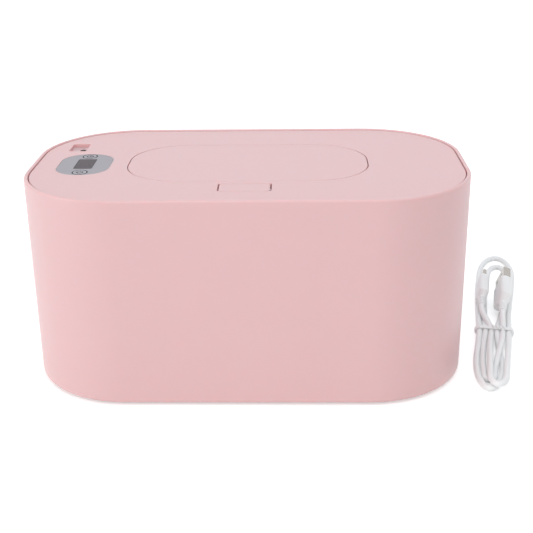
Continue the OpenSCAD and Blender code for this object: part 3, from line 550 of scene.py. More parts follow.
def cable_route():
    """The cable from the small plug to the large one, as listed points and half turns."""

    def floor(*places):
        return [(x, y, FLOOR_Z) for x, y in places]

    # Height of a run that lies over another one
    over = 4.9
    tie = [(x, TIE_Y, RUN_Z) for x in RUNS]
    return [
        *LEAD_C, tie[2], (-2.0, 50, 4.0), (-1.9, 32, 4.8),
        # Near end, on top, and up the right side
        *u_turn((2.4, 10.9), 4.0, 9.0, over, 180),
        (6.9, 27, over), (7.6, 46, 4.2), tie[5], (8.1, 74, 2.6), *floor((8.2, 96), (9.9, 128)),
        # Outer loop at the far end, and down the left side
        *u_turn((0.5, 150), 10.2, 31.3, FLOOR_Z, 0),
        *floor((-10.1, 126), (-9.3, 96)), (-8.4, 76, 2.6), tie[0], (-8.4, 50, 2.0),
        # Near end, below
        *floor((-8.9, 32), (-8.3, 20), (-7.2, 13), (-5.5, 7.8), (-3.7, 4.1), (-1.9, 2.5),
               (-0.2, 3.1), (1.6, 6.2), (3.1, 11), (4.2, 18), (4.8, 27), (3.3, 41)),
        (2.2, 54, 2.2), tie[3], (2.1, 74, 2.6), *floor((4.2, 94), (6.2, 118), (7.2, 136)),
        # Inner loop at the far end
        *u_turn((1.4, 148.3), 6.0, 18.0, FLOOR_Z, 0),
        *floor((-5.6, 134), (-6.2, 118), (-5.6, 96)), (-5.3, 76, 1.9), tie[1], (-5.3, 50, 2.2),
        # Inner loop at the near end, and up to the large plug
        (-5.4, 32, FLOOR_Z), *u_turn((-1.9, 15), 2.5, 3.6, FLOOR_Z, 180),
        (0.9, 24, FLOOR_Z), (1.9, 32, 3.4), (3.1, 42, over), (4.3, 54, 4.4), *LEAD_A[::-1],
    ]


def mix(p, q, start, end, t):
    """The point at t on the way from p at the start to q at the end."""
    return p * ((end - t) / (end - start)) + q * ((t - start) / (end - start))


def smoothed(points, spacing):
    """Points along a smooth curve through the given ones (a centripetal spline)."""
    points = [Vector(p) for p in points]
    kept = [points[0]]
    for p in points[1:]:
        if (p - kept[-1]).length > 0.4:
            kept.append(p)
    ends = [2 * kept[0] - kept[1], *kept, 2 * kept[-1] - kept[-2]]
    out = []
    for four in zip(ends, ends[1:], ends[2:], ends[3:]):
        knots = [0.0]
        for p, q in zip(four, four[1:]):
            knots.append(knots[-1] + math.sqrt((q - p).length))
        steps = max(1, round((four[2] - four[1]).length / spacing))
        for i in range(steps):
            t = knots[1] + (knots[2] - knots[1]) * i / steps
            a = [mix(four[k], four[k + 1], knots[k], knots[k + 1], t) for k in range(3)]
            b = [mix(a[k], a[k + 1], knots[k], knots[k + 2], t) for k in range(2)]
            out.append(mix(*b, knots[1], knots[2], t))
    return out + [kept[-1]]


def round_wire(name, points, diameter, sides):
    """A white round wire or cable as a curve through points of the object's frame."""
    curve = bpy.data.curves.new(name, "CURVE")
    curve.dimensions = "3D"
    curve.bevel_depth = diameter / 2
    curve.bevel_resolution = sides
    curve.use_fill_caps = True
    spline = curve.splines.new("POLY")
    spline.points.add(len(points) - 1)
    for target, place in zip(spline.points, points):
        target.co = (*place, 1)
    curve.materials.append(finish("white_cable"))
    return new_object(name, curve)


def plug_place(tail, turn):
    """Where a plug lies: pitched and rolled about the end of its strain relief."""
    turned = Matrix.Rotation(math.radians(turn[0]), 4, "X") @ Matrix.Rotation(
        math.radians(turn[1]), 4, "Y")
    return (
        Matrix.Translation(HANK_PLACE) @ Matrix.Rotation(HANK_TILT, 4, "Z")
        @ Matrix.Translation(Vector(tail) * MM) @ turned
    )


def plug_body_mesh(width, height, length, cable):
    """A moulded plug along +Y: a ribbed strain relief that flows into a rounded block."""
    # (place along Y, diameter) of the strain relief: its opening, then its five ribs
    stations = [(0.0, 2 * cable * 0.52), (0.0, 2 * cable * 0.62)]
    for i in range(5):
        y = 0.5 + i * 1.3
        size = 2 * (cable * 0.66 + 0.07 * i)
        stations += [(y, size), (y + 0.75, size), (y + 0.8, size - 0.7), (y + 1.25, size - 0.7)]
    neck, edge = RELIEF - 0.6, 0.7
    bm = bmesh.new()
    rings = []

    def ring(y, w, h, r):
        outline = rounded(w, h, min(r, w / 2 - 1e-3, h / 2 - 1e-3), 8)
        rings.append([bm.verts.new(Vector((x, y, z)) * MM) for x, z in outline])

    # The relief, an eased neck, then the block with its rounded end
    for y, size in stations:
        ring(y, size, size, size / 2)
    slim = stations[-1][1]
    for i in range(9):
        t = i / 8
        ease = t * t * (3 - 2 * t)
        w = slim + (width - slim) * ease
        h = slim + (height - slim) * ease
        ring(neck + 3.4 * t, w, h, h / 2 * (1 - 0.3 * ease))
    for c, s in arc_steps(edge, 5):
        y = RELIEF + length - edge + s
        ring(y, width - 2 * (edge - c), height - 2 * (edge - c), height * 0.35 - (edge - c))
    capped(bm, rings)
    return bm


class WARMER_OT_cable(bpy.types.Operator):
    """Lay the charging cable in its tied hank, with its two plugs"""

    bl_idname = "warmer.cable"
    bl_label = "Charging Cable"

    def execute(self, context):
        cable = context.scene.warmer_cable
        path = [hank_point(x, y, max(z, FLOOR_Z)) for x, y, z in smoothed(cable_route(), 1.6)]
        sheath = round_wire("charging_cable", path, cable.diameter, 5)
        declare(sheath, "tub", ["cord_hank", "cord_lead_c", "cord_lead_a"])
        for name, (node, tail, turn, size) in PLUG_BODIES.items():
            bm = plug_body_mesh(*size, cable.diameter / MM)
            bm.transform(plug_place(tail, turn))
            piece(name, bm, "white_cable", "tub", [node], smooth=40)
        for name, node, slot in (
            ("usb_c_plug_shell", "usb_c_shell", "plug_steel"),
            ("usb_a_plug_shell", "usb_a_shell", "plug_steel"),
            ("usb_a_plug_insert", "usb_a_insert", "black_plastic"),
        ):
            smooth_copy(node, name, slot, "tub")
        self.tie(cable)
        return {"FINISHED"}

    def tie(self, cable):
        """Two turns of coated wire around the hank, with their ends twisted on top."""
        wire, half_cable = cable.tie / MM / 2, cable.diameter / MM / 2
        half_x = -RUNS[0] + half_cable + wire * 0.9
        low, high = wire + 0.02, RUN_Z + half_cable + wire
        mid_z, r = (low + high) / 2, (high - low) / 2
        loop = rounded(2 * half_x, 2 * r, r - 0.05, 10, (0, mid_z))
        turns, pitch = 2, 0.9
        points = []
        for i in range(turns * len(loop) + len(loop) // 2):
            x, z = loop[i % len(loop)]
            points.append(hank_point(x, TIE_Y - pitch + pitch * i / len(loop), z))
        # The twisted ends lie across the top, with 16 points to a turn
        twist = []
        for i in range(60):
            a = 2 * math.pi * i / 16
            twist.append(hank_point(
                -1.2 + 0.12 * i, TIE_Y - 0.4 + 0.55 * math.cos(a),
                high + wire * 0.7 + 0.5 * math.sin(a) + 0.35))
        bm = bmesh.new()
        for part in (round_wire("tie_wire", points, cable.tie, 3),
                     round_wire("tie_twist", twist, cable.tie * 0.8, 3)):
            curve, mesh = part.data, baked(part)
            bm.from_mesh(mesh)
            bpy.data.objects.remove(part)
            bpy.data.curves.remove(curve)
            bpy.data.meshes.remove(mesh)
        return piece("wire_tie", bm, "white_cable", "tub", ["cable_tie"], smooth=50, recalc=False)


# ---- Shells ----


class WARMER_OT_tub(bpy.types.Operator):
    """Build the outer case with its rounded rim, its ledge and its rubber feet"""

    bl_idname = "warmer.tub"
    bl_label = "Tub"

    def execute(self, context):
        case = context.scene.warmer_case
        low, high = CASE_LOW.z, CASE_HIGH.z
        base, rim, lip = case.base_round, case.rim_round, case.lip_round
        inner, ledge_z = case.wall, case.ledge_z
        ledge_edge, fillet, lip_depth = 1.2 * MM, 3 * MM, 8 * MM
        # (inset, height) from the bottom edge over the rim and the ledge to the floor
        profile = [(base - c, low + base - s) for c, s in arc_steps(base, 8, 90, 0)]
        profile += [(rim - c, high - rim + s) for c, s in arc_steps(rim, 8)]
        profile += [(inner - lip + c, high - lip + s) for c, s in arc_steps(lip, 4, 90, 0)]
        profile += [
            (inner, high - lip_depth), (inner, ledge_z), (inner + case.ledge, ledge_z),
            (inner + case.ledge, ledge_z - ledge_edge), (inner, ledge_z - ledge_edge - case.ledge),
        ]
        profile += [(inner + fillet - c, low + case.floor + fillet - s)
                    for c, s in arc_steps(fillet, 6)]
        bm = bmesh.new()
        stacked(bm, case_layers(CASE_LOW, CASE_HIGH, case.corner, profile))
        piece("case_shell", bm, "pink_shell", "tub", ["outer_case"], smooth=50)
        self.feet()
        return {"FINISHED"}

    def feet(self):
        """Four turned rubber pads with a rounded edge and a shallow dish below."""
        low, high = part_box("rubber_feet")
        r, edge, dish = 7 * MM, 0.5 * MM, 0.25 * MM
        profile = [(r - 3 * MM, low.z + dish), (r - 2 * MM, low.z)]
        profile += [(r - edge + s, low.z + edge - c) for c, s in arc_steps(edge, 5)]
        profile += [(r, high.z)]
        bm = bmesh.new()
        for x in (low.x + r, high.x - r):
            for y in (low.y + r, high.y - r):
                lathe(bm, profile, (x, y, 0))
        piece("foot_pads", bm, "grey_rubber", "tub", ["rubber_feet"])


class WARMER_OT_cover(bpy.types.Operator):
    """Build the cover's deck and skirt, with the openings for the lid, latch, panel and socket"""

    bl_idname = "warmer.cover"
    bl_label = "Cover"

    def execute(self, context):
        case, panel = context.scene.warmer_case, context.scene.warmer_panel
        corner = case.corner - (CASE_HIGH.x - COVER_HIGH.x)
        top, under = COVER_HIGH.z, COVER_HIGH.z - case.deck
        edge, soft, fit = 0.5 * MM, 0.25 * MM, 0.1 * MM
        bm = bmesh.new()

        def wall(outline, path):
            """Rings along an outline, grown by a distance at a height at each step of a path."""
            return [ring_of(bm, grown(outline, growth), z) for growth, z in path]

        # Outside, as (inset, height): rounded edge, skirt and back up its inside. The skirt
        # stands a little wider below its edge, so that the seam isn't a deep slot.
        path = [(edge - s, top - edge + c) for c, s in arc_steps(edge, 5)]
        seam, step = 0.12 * MM, top - 0.7 * MM
        flare = CASE_HIGH.x - case.wall - COVER_HIGH.x - seam
        path += [(0, step), (-flare, step - flare), (-flare, COVER_LOW.z)]
        path += [(case.skirt, COVER_LOW.z), (case.skirt, under)]
        outside = [ring_of(bm, points, z)
                   for points, z in case_layers(COVER_LOW, COVER_HIGH, corner, path)]
        # Openings: a soft edge at the top, then straight down. The button's is narrower below.
        brink = [(soft - soft * s, top - soft + soft * c) for c, s in arc_steps(1, 3)]
        lid_hole = rounded(LID_HIGH.x - LID_LOW.x + 2 * case.gap, case.lid_depth + 2 * case.gap,
                           case.lid_corner + case.gap, 24, (0, MOUTH_MID.y))
        lid = wall(lid_hole, [*brink, (0, under)])
        latch = wall(button_outline(case.gap, SIDE_GAP), brink)
        latch.append(ring_of(bm, button_outline(case.gap, SIDE_GAP_BELOW), under))
        # Recess of the panel, with the display's window through its floor
        seat = top - (PANEL_HIGH.z - PANEL_LOW.z)
        recess = wall(box_outline(PANEL_LOW, PANEL_HIGH, fit, panel.corner + fit, 16),
                      [(0, top), (0, seat)])
        window = wall(box_outline(WINDOW_LOW, WINDOW_HIGH, 2 * fit, 0.8 * MM, 4),
                      [(0, seat), (0, under)])
        # Charging pocket, with the socket's slot through its floor
        pocket_floor = top - panel.pocket_depth
        pocket_outline = rounded(panel.pocket_width, panel.pocket_length, 1 * MM, 6,
                                 SOCKET_MID.xy + POCKET_SHIFT)
        pocket = wall(pocket_outline, [*brink, (0, pocket_floor)])
        slot_round = (SOCKET_HIGH.x - SOCKET_LOW.x + 3 * fit) / 2 - 1e-5
        slot = wall(box_outline(SOCKET_LOW, SOCKET_HIGH, 1.5 * fit, slot_round, 8),
                    [(0, pocket_floor), (0, under)])
        for rings in (outside, lid, latch, recess, window, pocket, slot):
            skin(bm, rings)
        fill(bm, outside[0], [r[0] for r in (lid, latch, recess, pocket)])
        fill(bm, recess[-1], [window[0]])
        fill(bm, pocket[-1], [slot[0]])
        fill(bm, outside[-1], [r[-1] for r in (lid, latch, window, slot)])
        bmesh.ops.recalc_face_normals(bm, faces=bm.faces)
        self.bosses(bm, under)
        piece("cover_shell", bm, "pink_shell", "cover", ["top_cover"], smooth=50, recalc=False)
        return {"FINISHED"}

    def bosses(self, bm, under):
        """Pairs of bosses under the deck that hold the pins."""
        length, overlap = 4.5 * MM, 0.2 * MM
        for node, inner, r in (
            ("hinge_pin", HINGE_BAY, 2.4 * MM), ("latch_pin", LATCH_BAY, 2.2 * MM),
        ):
            mid = extent(node)[2]
            for side in (-1, 1):
                x = side * (inner + length / 2)
                lathe(bm, [(r, -length / 2), (r, length / 2)], (x, mid.y, mid.z), "X", 32)
                bmesh.ops.create_cube(bm, size=1, matrix=Matrix.LocRotScale(
                    Vector((x, mid.y, (mid.z + under + overlap) / 2)), None,
                    Vector((length, 2 * r, under - mid.z + overlap))))


class WARMER_OT_lid(bpy.types.Operator):
    """Finish the flip lid, its seal and the latch button"""

    bl_idname = "warmer.lid"
    bl_label = "Lid and Latch"

    def execute(self, context):
        smooth_copy("flip_lid", "lid_shell", "pink_shell", "lid")
        smooth_copy("lid_seal", "lid_gasket", "silicone", "lid")
        self.button()
        return {"FINISHED"}

    def button(self):
        """The latch button with the edge of its top rounded."""
        bm = merged("latch_button")
        bmesh.ops.dissolve_limit(bm, angle_limit=math.radians(1), verts=bm.verts, edges=bm.edges)
        top = [edge for edge in bm.edges
               if all(abs(vert.co.z - BUTTON_HIGH.z) < 1e-6 for vert in edge.verts)]
        bmesh.ops.bevel(bm, geom=top, offset=0.35 * MM, offset_type="OFFSET", segments=3,
                        profile=0.5, affect="EDGES")
        piece("latch_key", bm, "pink_shell", "latch", ["latch_button"], smooth=30, recalc=False)


class WARMER_OT_mouth(bpy.types.Operator):
    """Build the soft mouth that the wipes come through, with its beaded slot"""

    bl_idname = "warmer.mouth"
    bl_label = "Outlet Mouth"

    def execute(self, context):
        low, high, mid = MOUTH_LOW, MOUTH_HIGH, MOUTH_MID
        length, width = high.x - low.x, high.y - low.y
        throat, collar, bead, edge = 4 * MM, 2.1 * MM, 0.8 * MM, 0.5 * MM
        # Heights: the rim, the sunken face around the slot and the seat under the collar
        top, face, seat = high.z, high.z - 0.5 * MM, high.z - 1.6 * MM
        bm = bmesh.new()

        def ring(reach, z):
            """A ring at a height, as far from the middle as its reach in each direction."""
            turn = [2 * math.pi * i / 192 for i in range(192)]
            return ring_of(bm, [(mid.x + reach(a) * math.cos(a), mid.y + reach(a) * math.sin(a))
                                for a in turn], z)

        def outer(inset, z):
            return ring(lambda a: stadium(length - 2 * inset, width - 2 * inset, a), z)

        def slot(room, z):
            return ring(lambda a: max(
                stadium(SLOT_LENGTH + 2 * room, SLOT_WIDTH + 2 * room, a), FINGER_HOLE + room), z)

        rings = [outer(0, low.z)]
        rings += [outer(edge - c, top - edge + s) for c, s in arc_steps(edge, 4)]
        rings += [outer(throat, top), outer(throat + 1.2 * MM, face), slot(GROOVE, face)]
        rings += [slot(bead + c, top - bead + s) for c, s in arc_steps(bead, 12, 90, 270)]
        rings += [slot(GROOVE, seat + 0.2 * MM), outer(throat - collar + 0.1 * MM, seat),
                  outer(throat - collar, low.z), rings[0]]
        skin(bm, rings)
        piece("soft_mouth", bm, "silicone", "cover", ["outlet_mouth"], smooth=45)
        return {"FINISHED"}


# ---- Touch panel ----


class WARMER_OT_panel(bpy.types.Operator):
    """Build the touch panel with its two keys, and the display's window"""

    bl_idname = "warmer.panel"
    bl_label = "Touch Panel"

    def execute(self, context):
        panel = context.scene.warmer_panel
        soft, fit = 0.12 * MM, 0.1 * MM
        bottom, top = PANEL_LOW.z, PANEL_HIGH.z
        outline = box_outline(PANEL_LOW, PANEL_HIGH, 0, panel.corner, 24)
        hole = box_outline(WINDOW_LOW, WINDOW_HIGH, fit / 2, 0.85 * MM, 6)
        bm = bmesh.new()
        outer = [ring_of(bm, outline, bottom), ring_of(bm, outline, top - soft),
                 ring_of(bm, grown(outline, -soft), top)]
        inner = [ring_of(bm, hole, bottom), ring_of(bm, hole, top)]
        skin(bm, outer)
        skin(bm, inner)
        fill(bm, outer[-1], [inner[-1]])
        fill(bm, outer[0], [inner[0]])
        piece("panel_film", bm, "grey_panel", "cover", ["control_panel"])
        self.window()
        self.keys(panel)
        return {"FINISHED"}

    def window(self):
        """A smoked window with a soft edge, and two unlit digits behind its face."""
        soft, top = 0.15 * MM, WINDOW_HIGH.z - 0.03 * MM
        outline = box_outline(WINDOW_LOW, WINDOW_HIGH, 0, 0.75 * MM, 6)
        bm = bmesh.new()
        stacked(bm, [(outline, WINDOW_LOW.z), (outline, top - soft), (grown(outline, -soft), top)])
        piece("window_lens", bm, "dark_window", "cover", ["display_window"])
        self.digits(top)

    def digits(self, top):
        """The seven bars of each of the two digits, a shade paler than the window."""
        bm = bmesh.new()
        wide, tall, bar = 2.6 * MM, 5.2 * MM, 0.42 * MM
        skew, gap, apart = 0.08, 0.12 * MM, 2.1 * MM
        for column in (-1, 1):
            cx = WINDOW_MID.x + column * apart
            cy = WINDOW_MID.y
            bars = [((0, s * tall / 2), True) for s in (-1, 0, 1)]
            bars += [((sx * wide / 2, sy * tall / 4), False) for sx in (-1, 1) for sy in (-1, 1)]
            for (x, y), flat in bars:
                half, tip = (wide if flat else tall / 2) / 2 - gap, bar / 2
                shape = [(-half, 0), (-half + tip, -tip), (half - tip, -tip), (half, 0),
                         (half - tip, tip), (-half + tip, tip)]
                if not flat:
                    shape = [(-v, u) for u, v in shape]
                places = [(cx + x + u + skew * (y + v), cy + y + v) for u, v in shape]
                stacked(bm, [(places, top - 0.02 * MM), (places, top + 0.01 * MM)])
        piece("unlit_digits", bm, "dark_window", "cover", paint="ghost_digit")

    def keys(self, panel):
        """The printed rings and marks of the two touch keys, and inside each ring a pale ring of
        painted highlight.
        """
        ink, pale = bmesh.new(), bmesh.new()
        x = PANEL_MID.x
        near, far = PANEL_MID.y - panel.pitch / 2, PANEL_MID.y + panel.pitch / 2
        r, line = panel.key / 2, 0.75 * MM
        for y in (near, far):
            self.ring(ink, (x, y), r, r - line)
            # The pale ring just inside the ink is painted highlight
            self.ring(pale, (x, y), r - line, r - 1.7 * line)
        # Switch mark: an open ring and a bar
        self.ring(ink, (x, near), 1.75 * MM, 1.15 * MM, 125, 415)
        self.bar(ink, (x, near + 1.1 * MM), (x, near + 2.1 * MM), 0.6 * MM)
        # Timer mark: a dial's face with two hands
        self.ring(ink, (x, far), 1.9 * MM, 1.35 * MM)
        self.bar(ink, (x, far), (x, far + 1.2 * MM), 0.5 * MM)
        self.bar(ink, (x, far), (x + 0.9 * MM, far - 0.1 * MM), 0.5 * MM)
        piece("key_marks", ink, "grey_panel", "cover", paint="key_ink")
        piece("key_rims", pale, "grey_panel", "cover", paint="key_painted_highlight")

    def ring(self, bm, middle, outer, inner, start=0, end=360):
        """A flat ring of print or of painted highlight, or a part of one."""
        turn = angles(start, end, 48)
        whole = end - start >= 360
        if whole:
            turn.pop()
        top, low = PANEL_HIGH.z + PRINT, PANEL_HIGH.z - PRINT
        corners = [ring_of(bm, around(middle, radius, turn), z) for radius, z in (
            (inner, low), (outer, low), (outer, top), (inner, top))]
        skin(bm, [*corners, corners[0]], whole)
        if not whole:
            bm.faces.new([c[0] for c in corners])
            bm.faces.new([c[-1] for c in corners][::-1])

    def bar(self, bm, start, end, width):
        """A flat printed bar."""
        start, end = Vector(start), Vector(end)
        along = (end - start).normalized()
        across = Vector((-along.y, along.x)) * width / 2
        places = [start - across, end - across, end + across, start + across]
        stacked(bm, [(places, PANEL_HIGH.z - PRINT), (places, PANEL_HIGH.z + PRINT)])


# ---- Hardware made by Geometry Nodes ----


def node_tree(name, inputs):
    """A geometry tree with named inputs: the tree, its inputs and a function that adds nodes."""
    tree = bpy.data.node_groups.new(name, "GeometryNodeTree")
    sockets = [("Geometry", "Geometry"), *inputs]
    for label, kind in sockets:
        tree.interface.new_socket(label, in_out="INPUT", socket_type="NodeSocket" + kind)
    tree.interface.new_socket("Geometry", in_out="OUTPUT", socket_type="NodeSocketGeometry")
    add = adder(tree)
    return tree, add("NodeGroupInput").outputs, add


def give(add, geometry, material):
    """Ends a tree: makes its copies real, paints them and passes them on."""
    real = add("GeometryNodeRealizeInstances", Geometry=geometry)
    paint = add("GeometryNodeSetMaterial", Geometry=real.outputs["Geometry"], Material=material)
    add("NodeGroupOutput", Geometry=paint.outputs["Geometry"])


def spring_tree():
    """A coil of round wire about Z: turns, radius, height and wire are its inputs."""
    tree, given, add = node_tree("Coil Spring", [
        ("Turns", "Float"), ("Radius", "Float"), ("Height", "Float"), ("Wire", "Float"),
        ("Place", "Vector"), ("Turn", "Vector"), ("Material", "Material")])
    spiral = add("GeometryNodeCurveSpiral", Resolution=24, Rotations=given["Turns"],
                 Start_Radius=given["Radius"], End_Radius=given["Radius"],
                 Height=given["Height"])
    wire = add("GeometryNodeCurvePrimitiveCircle", Resolution=10, Radius=given["Wire"])
    tube = add("GeometryNodeCurveToMesh", Curve=spiral.outputs["Curve"],
               Profile_Curve=wire.outputs["Curve"], Fill_Caps=True)
    place = add("GeometryNodeTransform", Geometry=tube.outputs["Mesh"],
                Translation=given["Place"], Rotation=given["Turn"])
    give(add, place.outputs["Geometry"], given["Material"])
    return tree


def scatter_tree():
    """Copies of one piece on a set of points, turned alike."""
    tree, given, add = node_tree("Screws on Points", [
        ("Screw", "Object"), ("Material", "Material")])
    source = add("GeometryNodeObjectInfo", Object=given["Screw"])
    copies = add("GeometryNodeInstanceOnPoints", Points=given["Geometry"],
                 Instance=source.outputs["Geometry"])
    give(add, copies.outputs["Instances"], given["Material"])
    return tree


def grow(tree, bm, points, values):
    """Runs a tree on a set of points and adds its result to a bmesh."""
    base = bpy.data.meshes.new("seed")
    base.from_pydata(points, [], [])
    carrier = new_object("carrier", base)
    modifier = carrier.modifiers.new(tree.name, "NODES")
    modifier.node_group = tree
    for item in tree.interface.items_tree:
        if item.in_out == "INPUT" and item.name in values:
            modifier[item.identifier] = values[item.name]
    mesh = baked(carrier)
    bm.from_mesh(mesh)
    bpy.data.objects.remove(carrier)
    bpy.data.meshes.remove(base)
    bpy.data.meshes.remove(mesh)


def solids_of(node):
    """The middle, lowest and highest corner of each separate solid of a construction node."""
    bm = merged(node, 1e-6)
    seen, found = set(), []
    for vert in bm.verts:
        if vert in seen:
            continue
        stack, group = [vert], []
        seen.add(vert)
        while stack:
            here = stack.pop()
            group.append(here.co.copy())
            for edge in here.link_edges:
                other = edge.other_vert(here)
                if other not in seen:
                    seen.add(other)
                    stack.append(other)
        low = Vector(min(c[i] for c in group) for i in range(3))
        high = Vector(max(c[i] for c in group) for i in range(3))
        found.append(((low + high) / 2, low, high))
    bm.free()
    return found


class WARMER_OT_hardware(bpy.types.Operator):
    """Make the screws, the springs and the pins"""

    bl_idname = "warmer.hardware"
    bl_label = "Screws, Springs and Pins"

    def execute(self, context):
        scatter = scatter_tree()
        for name, node in (("tray_screw_set", "tray_screws"), ("board_screw_set", "board_screws"),
                           ("plate_screw_set", "plate_screws")):
            self.screws(scatter, node, name)
        spring = spring_tree()
        for name, node, turns in (("latch_coil", "latch_spring", 6),
                                  ("touch_coils", "touch_springs", 5)):
            self.coils(spring, node, name, turns)
        self.lid_coil(spring)
        for name, node in (("hinge_rod", "hinge_pin"), ("latch_rod", "latch_pin")):
            self.pin(node, name)
        return {"FINISHED"}

    def screws(self, tree, node, name):
        """Pan-head screws with a cross recess and a ridged shank, one on each place."""
        solids = solids_of(node)
        screw = self.screw_model(solids[0][2].z - solids[0][1].z)
        bm = bmesh.new()
        grow(tree, bm, [(mid.x, mid.y, low.z) for mid, low, high in solids],
             {"Screw": screw, "Material": finish("zinc_steel")})
        bpy.data.objects.remove(screw)
        piece(name, bm, "zinc_steel", "cover", [node], smooth=30, recalc=False)

    def screw_model(self, length):
        """One screw that points up, with the bottom of its head at the origin."""
        head, shank, tall, recess, blade = 2 * MM, 1 * MM, 1.3 * MM, 0.7 * MM, 0.45 * MM
        pitch, ridge, edge = 0.5 * MM, 0.12 * MM, 0.5 * MM
        profile = [(head - edge + s, edge - c) for c, s in arc_steps(edge, 5)]
        profile += [(head, tall), (shank, tall)]
        z = tall + 0.2 * MM
        while z + pitch < length - 0.6 * MM:
            profile += [(shank - ridge, z), (shank, z + pitch / 2)]
            z += pitch
        profile += [(shank - ridge, z), (shank * 0.35, length)]
        bm = bmesh.new()
        lathe(bm, profile, (0, 0, 0), steps=24)
        bmesh.ops.recalc_face_normals(bm, faces=bm.faces)
        screw = mesh_object("screw", bm)
        cross = bmesh.new()
        for turn in (0, math.pi / 2):
            bmesh.ops.create_cube(cross, size=1, matrix=Matrix.Rotation(turn, 4, "Z")
                                  @ Matrix.Diagonal((head * 1.1, blade, 2 * recess, 1)))
        cutter = mesh_object("cross", cross)
        cut = screw.modifiers.new("Cross", "BOOLEAN")
        cut.object = cutter
        cut.solver = "EXACT"
        cut.use_self = True
        screw.data = baked(screw)
        bpy.data.objects.remove(cutter)
        return screw

    def coil(self, tree, bm, turns, radius, height, wire, place, turn):
        """Adds one coil of round wire."""
        grow(tree, bm, [(0, 0, 0)], {
            "Turns": float(turns), "Radius": radius, "Height": height, "Wire": wire,
            "Place": place, "Turn": turn, "Material": finish("spring_steel")})

    def coils(self, tree, node, name, turns):
        """Upright coils in the places of the construction's springs."""
        wire = 0.25 * MM
        bm = bmesh.new()
        for mid, low, high in solids_of(node):
            self.coil(tree, bm, turns, (high.x - low.x) / 2 - wire, high.z - low.z - 2 * wire,
                      wire, Vector((mid.x, mid.y, low.z + wire)), Vector((0, 0, 0)))
        piece(name, bm, "spring_steel", "cover", [node], smooth=60, recalc=False)

    def lid_coil(self, tree):
        """The lid's torsion spring on the hinge pin, with its two straight ends."""
        wire = 0.2 * MM
        pin_low, pin_high, pin_mid = extent("hinge_pin")
        radius = (pin_high.z - pin_low.z) / 2 + 0.35 * MM
        bm = bmesh.new()
        for mid, low, high in solids_of("lid_spring"):
            height = high.x - low.x - 2 * wire
            place = Vector((low.x + wire, pin_mid.y, pin_mid.z))
            self.coil(tree, bm, 6, radius, height, wire, place, Vector((0, math.pi / 2, 0)))
            # One end reaches under the cover, the other under the lid
            for x, reach in ((place.x, -7.6 * MM), (place.x + height, 4.0 * MM)):
                lathe(bm, [(wire, min(0, reach)), (wire, max(0, reach))],
                      (x, place.y, place.z - radius), "Y", 10)
        piece("lid_coil", bm, "spring_steel", "cover", ["lid_spring"], smooth=60, recalc=False)

    def pin(self, node, name):
        """A straight pin with chamfered ends."""
        low, high, mid = extent(node)
        r, half, chamfer = (high.z - low.z) / 2, (high.x - low.x) / 2, 0.25 * MM
        bm = bmesh.new()
        lathe(bm, [(r - chamfer, -half), (r, chamfer - half), (r, half - chamfer),
                   (r - chamfer, half)], mid, "X", 32)
        piece(name, bm, "spring_steel", "cover", [node])


class WARMER_OT_inside(bpy.types.Operator):
    """Finish the tray, the seals, the heater and the electronics"""

    bl_idname = "warmer.inside"
    bl_label = "Inside of the Cover"

    def execute(self, context):
        for node, name, slot in (
            ("cover_tray", "tray_shell", "white_plastic"),
            ("cover_seal", "cover_gasket", "silicone"),
            ("heat_plate", "heat_spreader", "heat_plate_aluminium"),
            ("heater_film", "heater_foil", "amber_film"),
            ("temperature_sensor", "sensor_bead", "black_plastic"),
            ("thermal_cutout", "cutout_block", "white_plastic"),
            ("heater_wires", "heater_leads", "red_wire"),
            ("control_board", "circuit_board", "green_board"),
            ("display_module", "display_block", "black_plastic"),
            ("usb_c_socket", "charging_socket", "plug_steel"),
        ):
            smooth_copy(node, name, slot, "cover")
        return {"FINISHED"}


# ---- Stage ----


class WARMER_OT_camera(bpy.types.Operator):
    """Place the camera as the photograph was taken"""

    bl_idname = "warmer.camera"
    bl_label = "Camera"

    def execute(self, context):
        studio = context.scene.warmer_studio
        az, el, roll = studio.azimuth, studio.elevation, studio.roll
        back = Vector((math.sin(az) * math.cos(el), -math.cos(az) * math.cos(el), math.sin(el)))
        right = (-back).cross(Vector((0, 0, 1))).normalized()
        up = back.cross(right)
        right, up = (right * math.cos(roll) + up * math.sin(roll),
                     up * math.cos(roll) - right * math.sin(roll))
        data = bpy.data.cameras.new("camera")
        data.lens = studio.lens
        data.sensor_width = 36
        data.clip_start = 0.01
        camera = new_object("camera", data)
        turned = Matrix((right, up, back)).transposed().to_4x4()
        camera.matrix_world = Matrix.Translation(CAMERA_AIM + back * studio.distance) @ turned
        context.scene.camera = camera
        return {"FINISHED"}


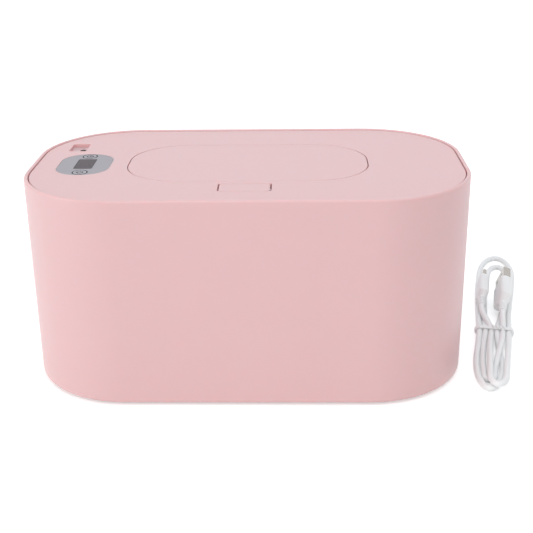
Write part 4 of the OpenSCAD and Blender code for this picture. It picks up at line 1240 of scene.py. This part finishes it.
class WARMER_OT_stage(bpy.types.Operator):
    """Lay the pale floor and hang the lamps"""

    bl_idname = "warmer.stage"
    bl_label = "Stage"

    def execute(self, context):
        scene = context.scene
        studio = scene.warmer_studio
        scene.view_settings.view_transform = "Standard"
        self.floor()
        self.lamp("left_lamp", (-1.2, -0.6, 0.35), 0.8, studio.left_watts)
        self.lamp("front_lamp", (0.0, -1.3, 0.35), 0.9, studio.front_watts)
        self.lamp("top_lamp", (0.0, -0.5, 1.2), 0.9, studio.top_watts)
        self.lamp("back_lamp", (0.1, 0.35, 1.1), 0.9, studio.back_watts, (0.66, 0.78, 1.0))
        world = bpy.data.worlds.new("studio")
        world.use_nodes = True
        tree = world.node_tree
        background = tree.nodes["Background"]
        background.inputs["Color"].default_value = (1.0, 1.0, 1.0, 1)
        tree.links.new(self.seen(tree, studio.sky, 1.0), background.inputs["Strength"])
        scene.world = world
        return {"FINISHED"}

    def seen(self, tree, unseen, seen):
        """One value for what the camera, gloss and clear parts see, another for the light."""
        add = adder(tree)
        rays = add("ShaderNodeLightPath")
        last = rays.outputs["Is Camera Ray"]
        for label in ("Is Glossy Ray", "Is Transmission Ray"):
            either = add("ShaderNodeMath")
            either.operation = "MAXIMUM"
            tree.links.new(last, either.inputs[0])
            tree.links.new(rays.outputs[label], either.inputs[1])
            last = either.outputs[0]
        return add("ShaderNodeMapRange", Value=last, To_Min=unseen, To_Max=seen).outputs["Result"]

    def lamp(self, name, place, size, watts, colour=(1, 1, 1)):
        """A large soft lamp that faces the case."""
        data = bpy.data.lights.new(name, "AREA")
        data.shape = "DISK"
        data.size = size
        data.energy = watts
        data.color = colour
        lamp = new_object(name, data)
        towards = LAMP_AIM - Vector(place)
        lamp.matrix_world = Matrix.Translation(place) @ towards.to_track_quat(
            "-Z", "Y").to_matrix().to_4x4()

    def floor(self):
        """A wide white floor that shows the object's shadow."""
        reach = 6.0
        bm = bmesh.new()
        bm.faces.new(ring_of(bm, [(-reach, -reach), (reach, -reach), (reach, reach),
                                  (-reach, reach)], 0))
        material, shader, add, feed = surface("white_floor")
        shader.inputs["Base Color"].default_value = (0.9, 0.9, 0.9, 1)
        shader.inputs["Roughness"].default_value = 0.8
        shader.inputs["Emission Color"].default_value = (1, 1, 1, 1)
        feed(self.seen(material.node_tree, 0.0, 0.42), "Emission Strength")
        floor = mesh_object("floor", bm)
        floor.data.materials.append(material)


# ---- Add-on ----

OPERATORS = (
    WARMER_OT_camera, WARMER_OT_cable, WARMER_OT_tub, WARMER_OT_cover, WARMER_OT_lid,
    WARMER_OT_mouth, WARMER_OT_panel, WARMER_OT_hardware, WARMER_OT_inside, WARMER_OT_stage,
)


class WARMER_PT_sidebar(bpy.types.Panel):
    """Lists the warmer's pieces and their settings"""

    bl_idname = "WARMER_PT_sidebar"
    bl_label = "Wipe Warmer"
    bl_space_type = "VIEW_3D"
    bl_region_type = "UI"
    bl_category = "Wipe Warmer"

    def draw(self, context):
        for operator in OPERATORS:
            self.layout.operator(operator.bl_idname)
        for name, group in GROUPS.items():
            box = self.layout.box()
            for setting in group.__annotations__:
                box.prop(getattr(context.scene, name), setting)


def register():
    """Registers the settings, the operators and the panel."""
    for name, group in GROUPS.items():
        bpy.utils.register_class(group)
        setattr(bpy.types.Scene, name, PointerProperty(type=group))
    for cls in (*OPERATORS, WARMER_PT_sidebar):
        bpy.utils.register_class(cls)


def unregister():
    """Takes everything out again."""
    for cls in reversed((*OPERATORS, WARMER_PT_sidebar)):
        bpy.utils.unregister_class(cls)
    for name, group in GROUPS.items():
        delattr(bpy.types.Scene, name)
        bpy.utils.unregister_class(group)


def main():
    """Builds the whole object and its stage."""
    register()
    for operator in OPERATORS:
        family, action = operator.bl_idname.split(".")
        getattr(getattr(bpy.ops, family), action)()


if __name__ == "__main__":
    main()
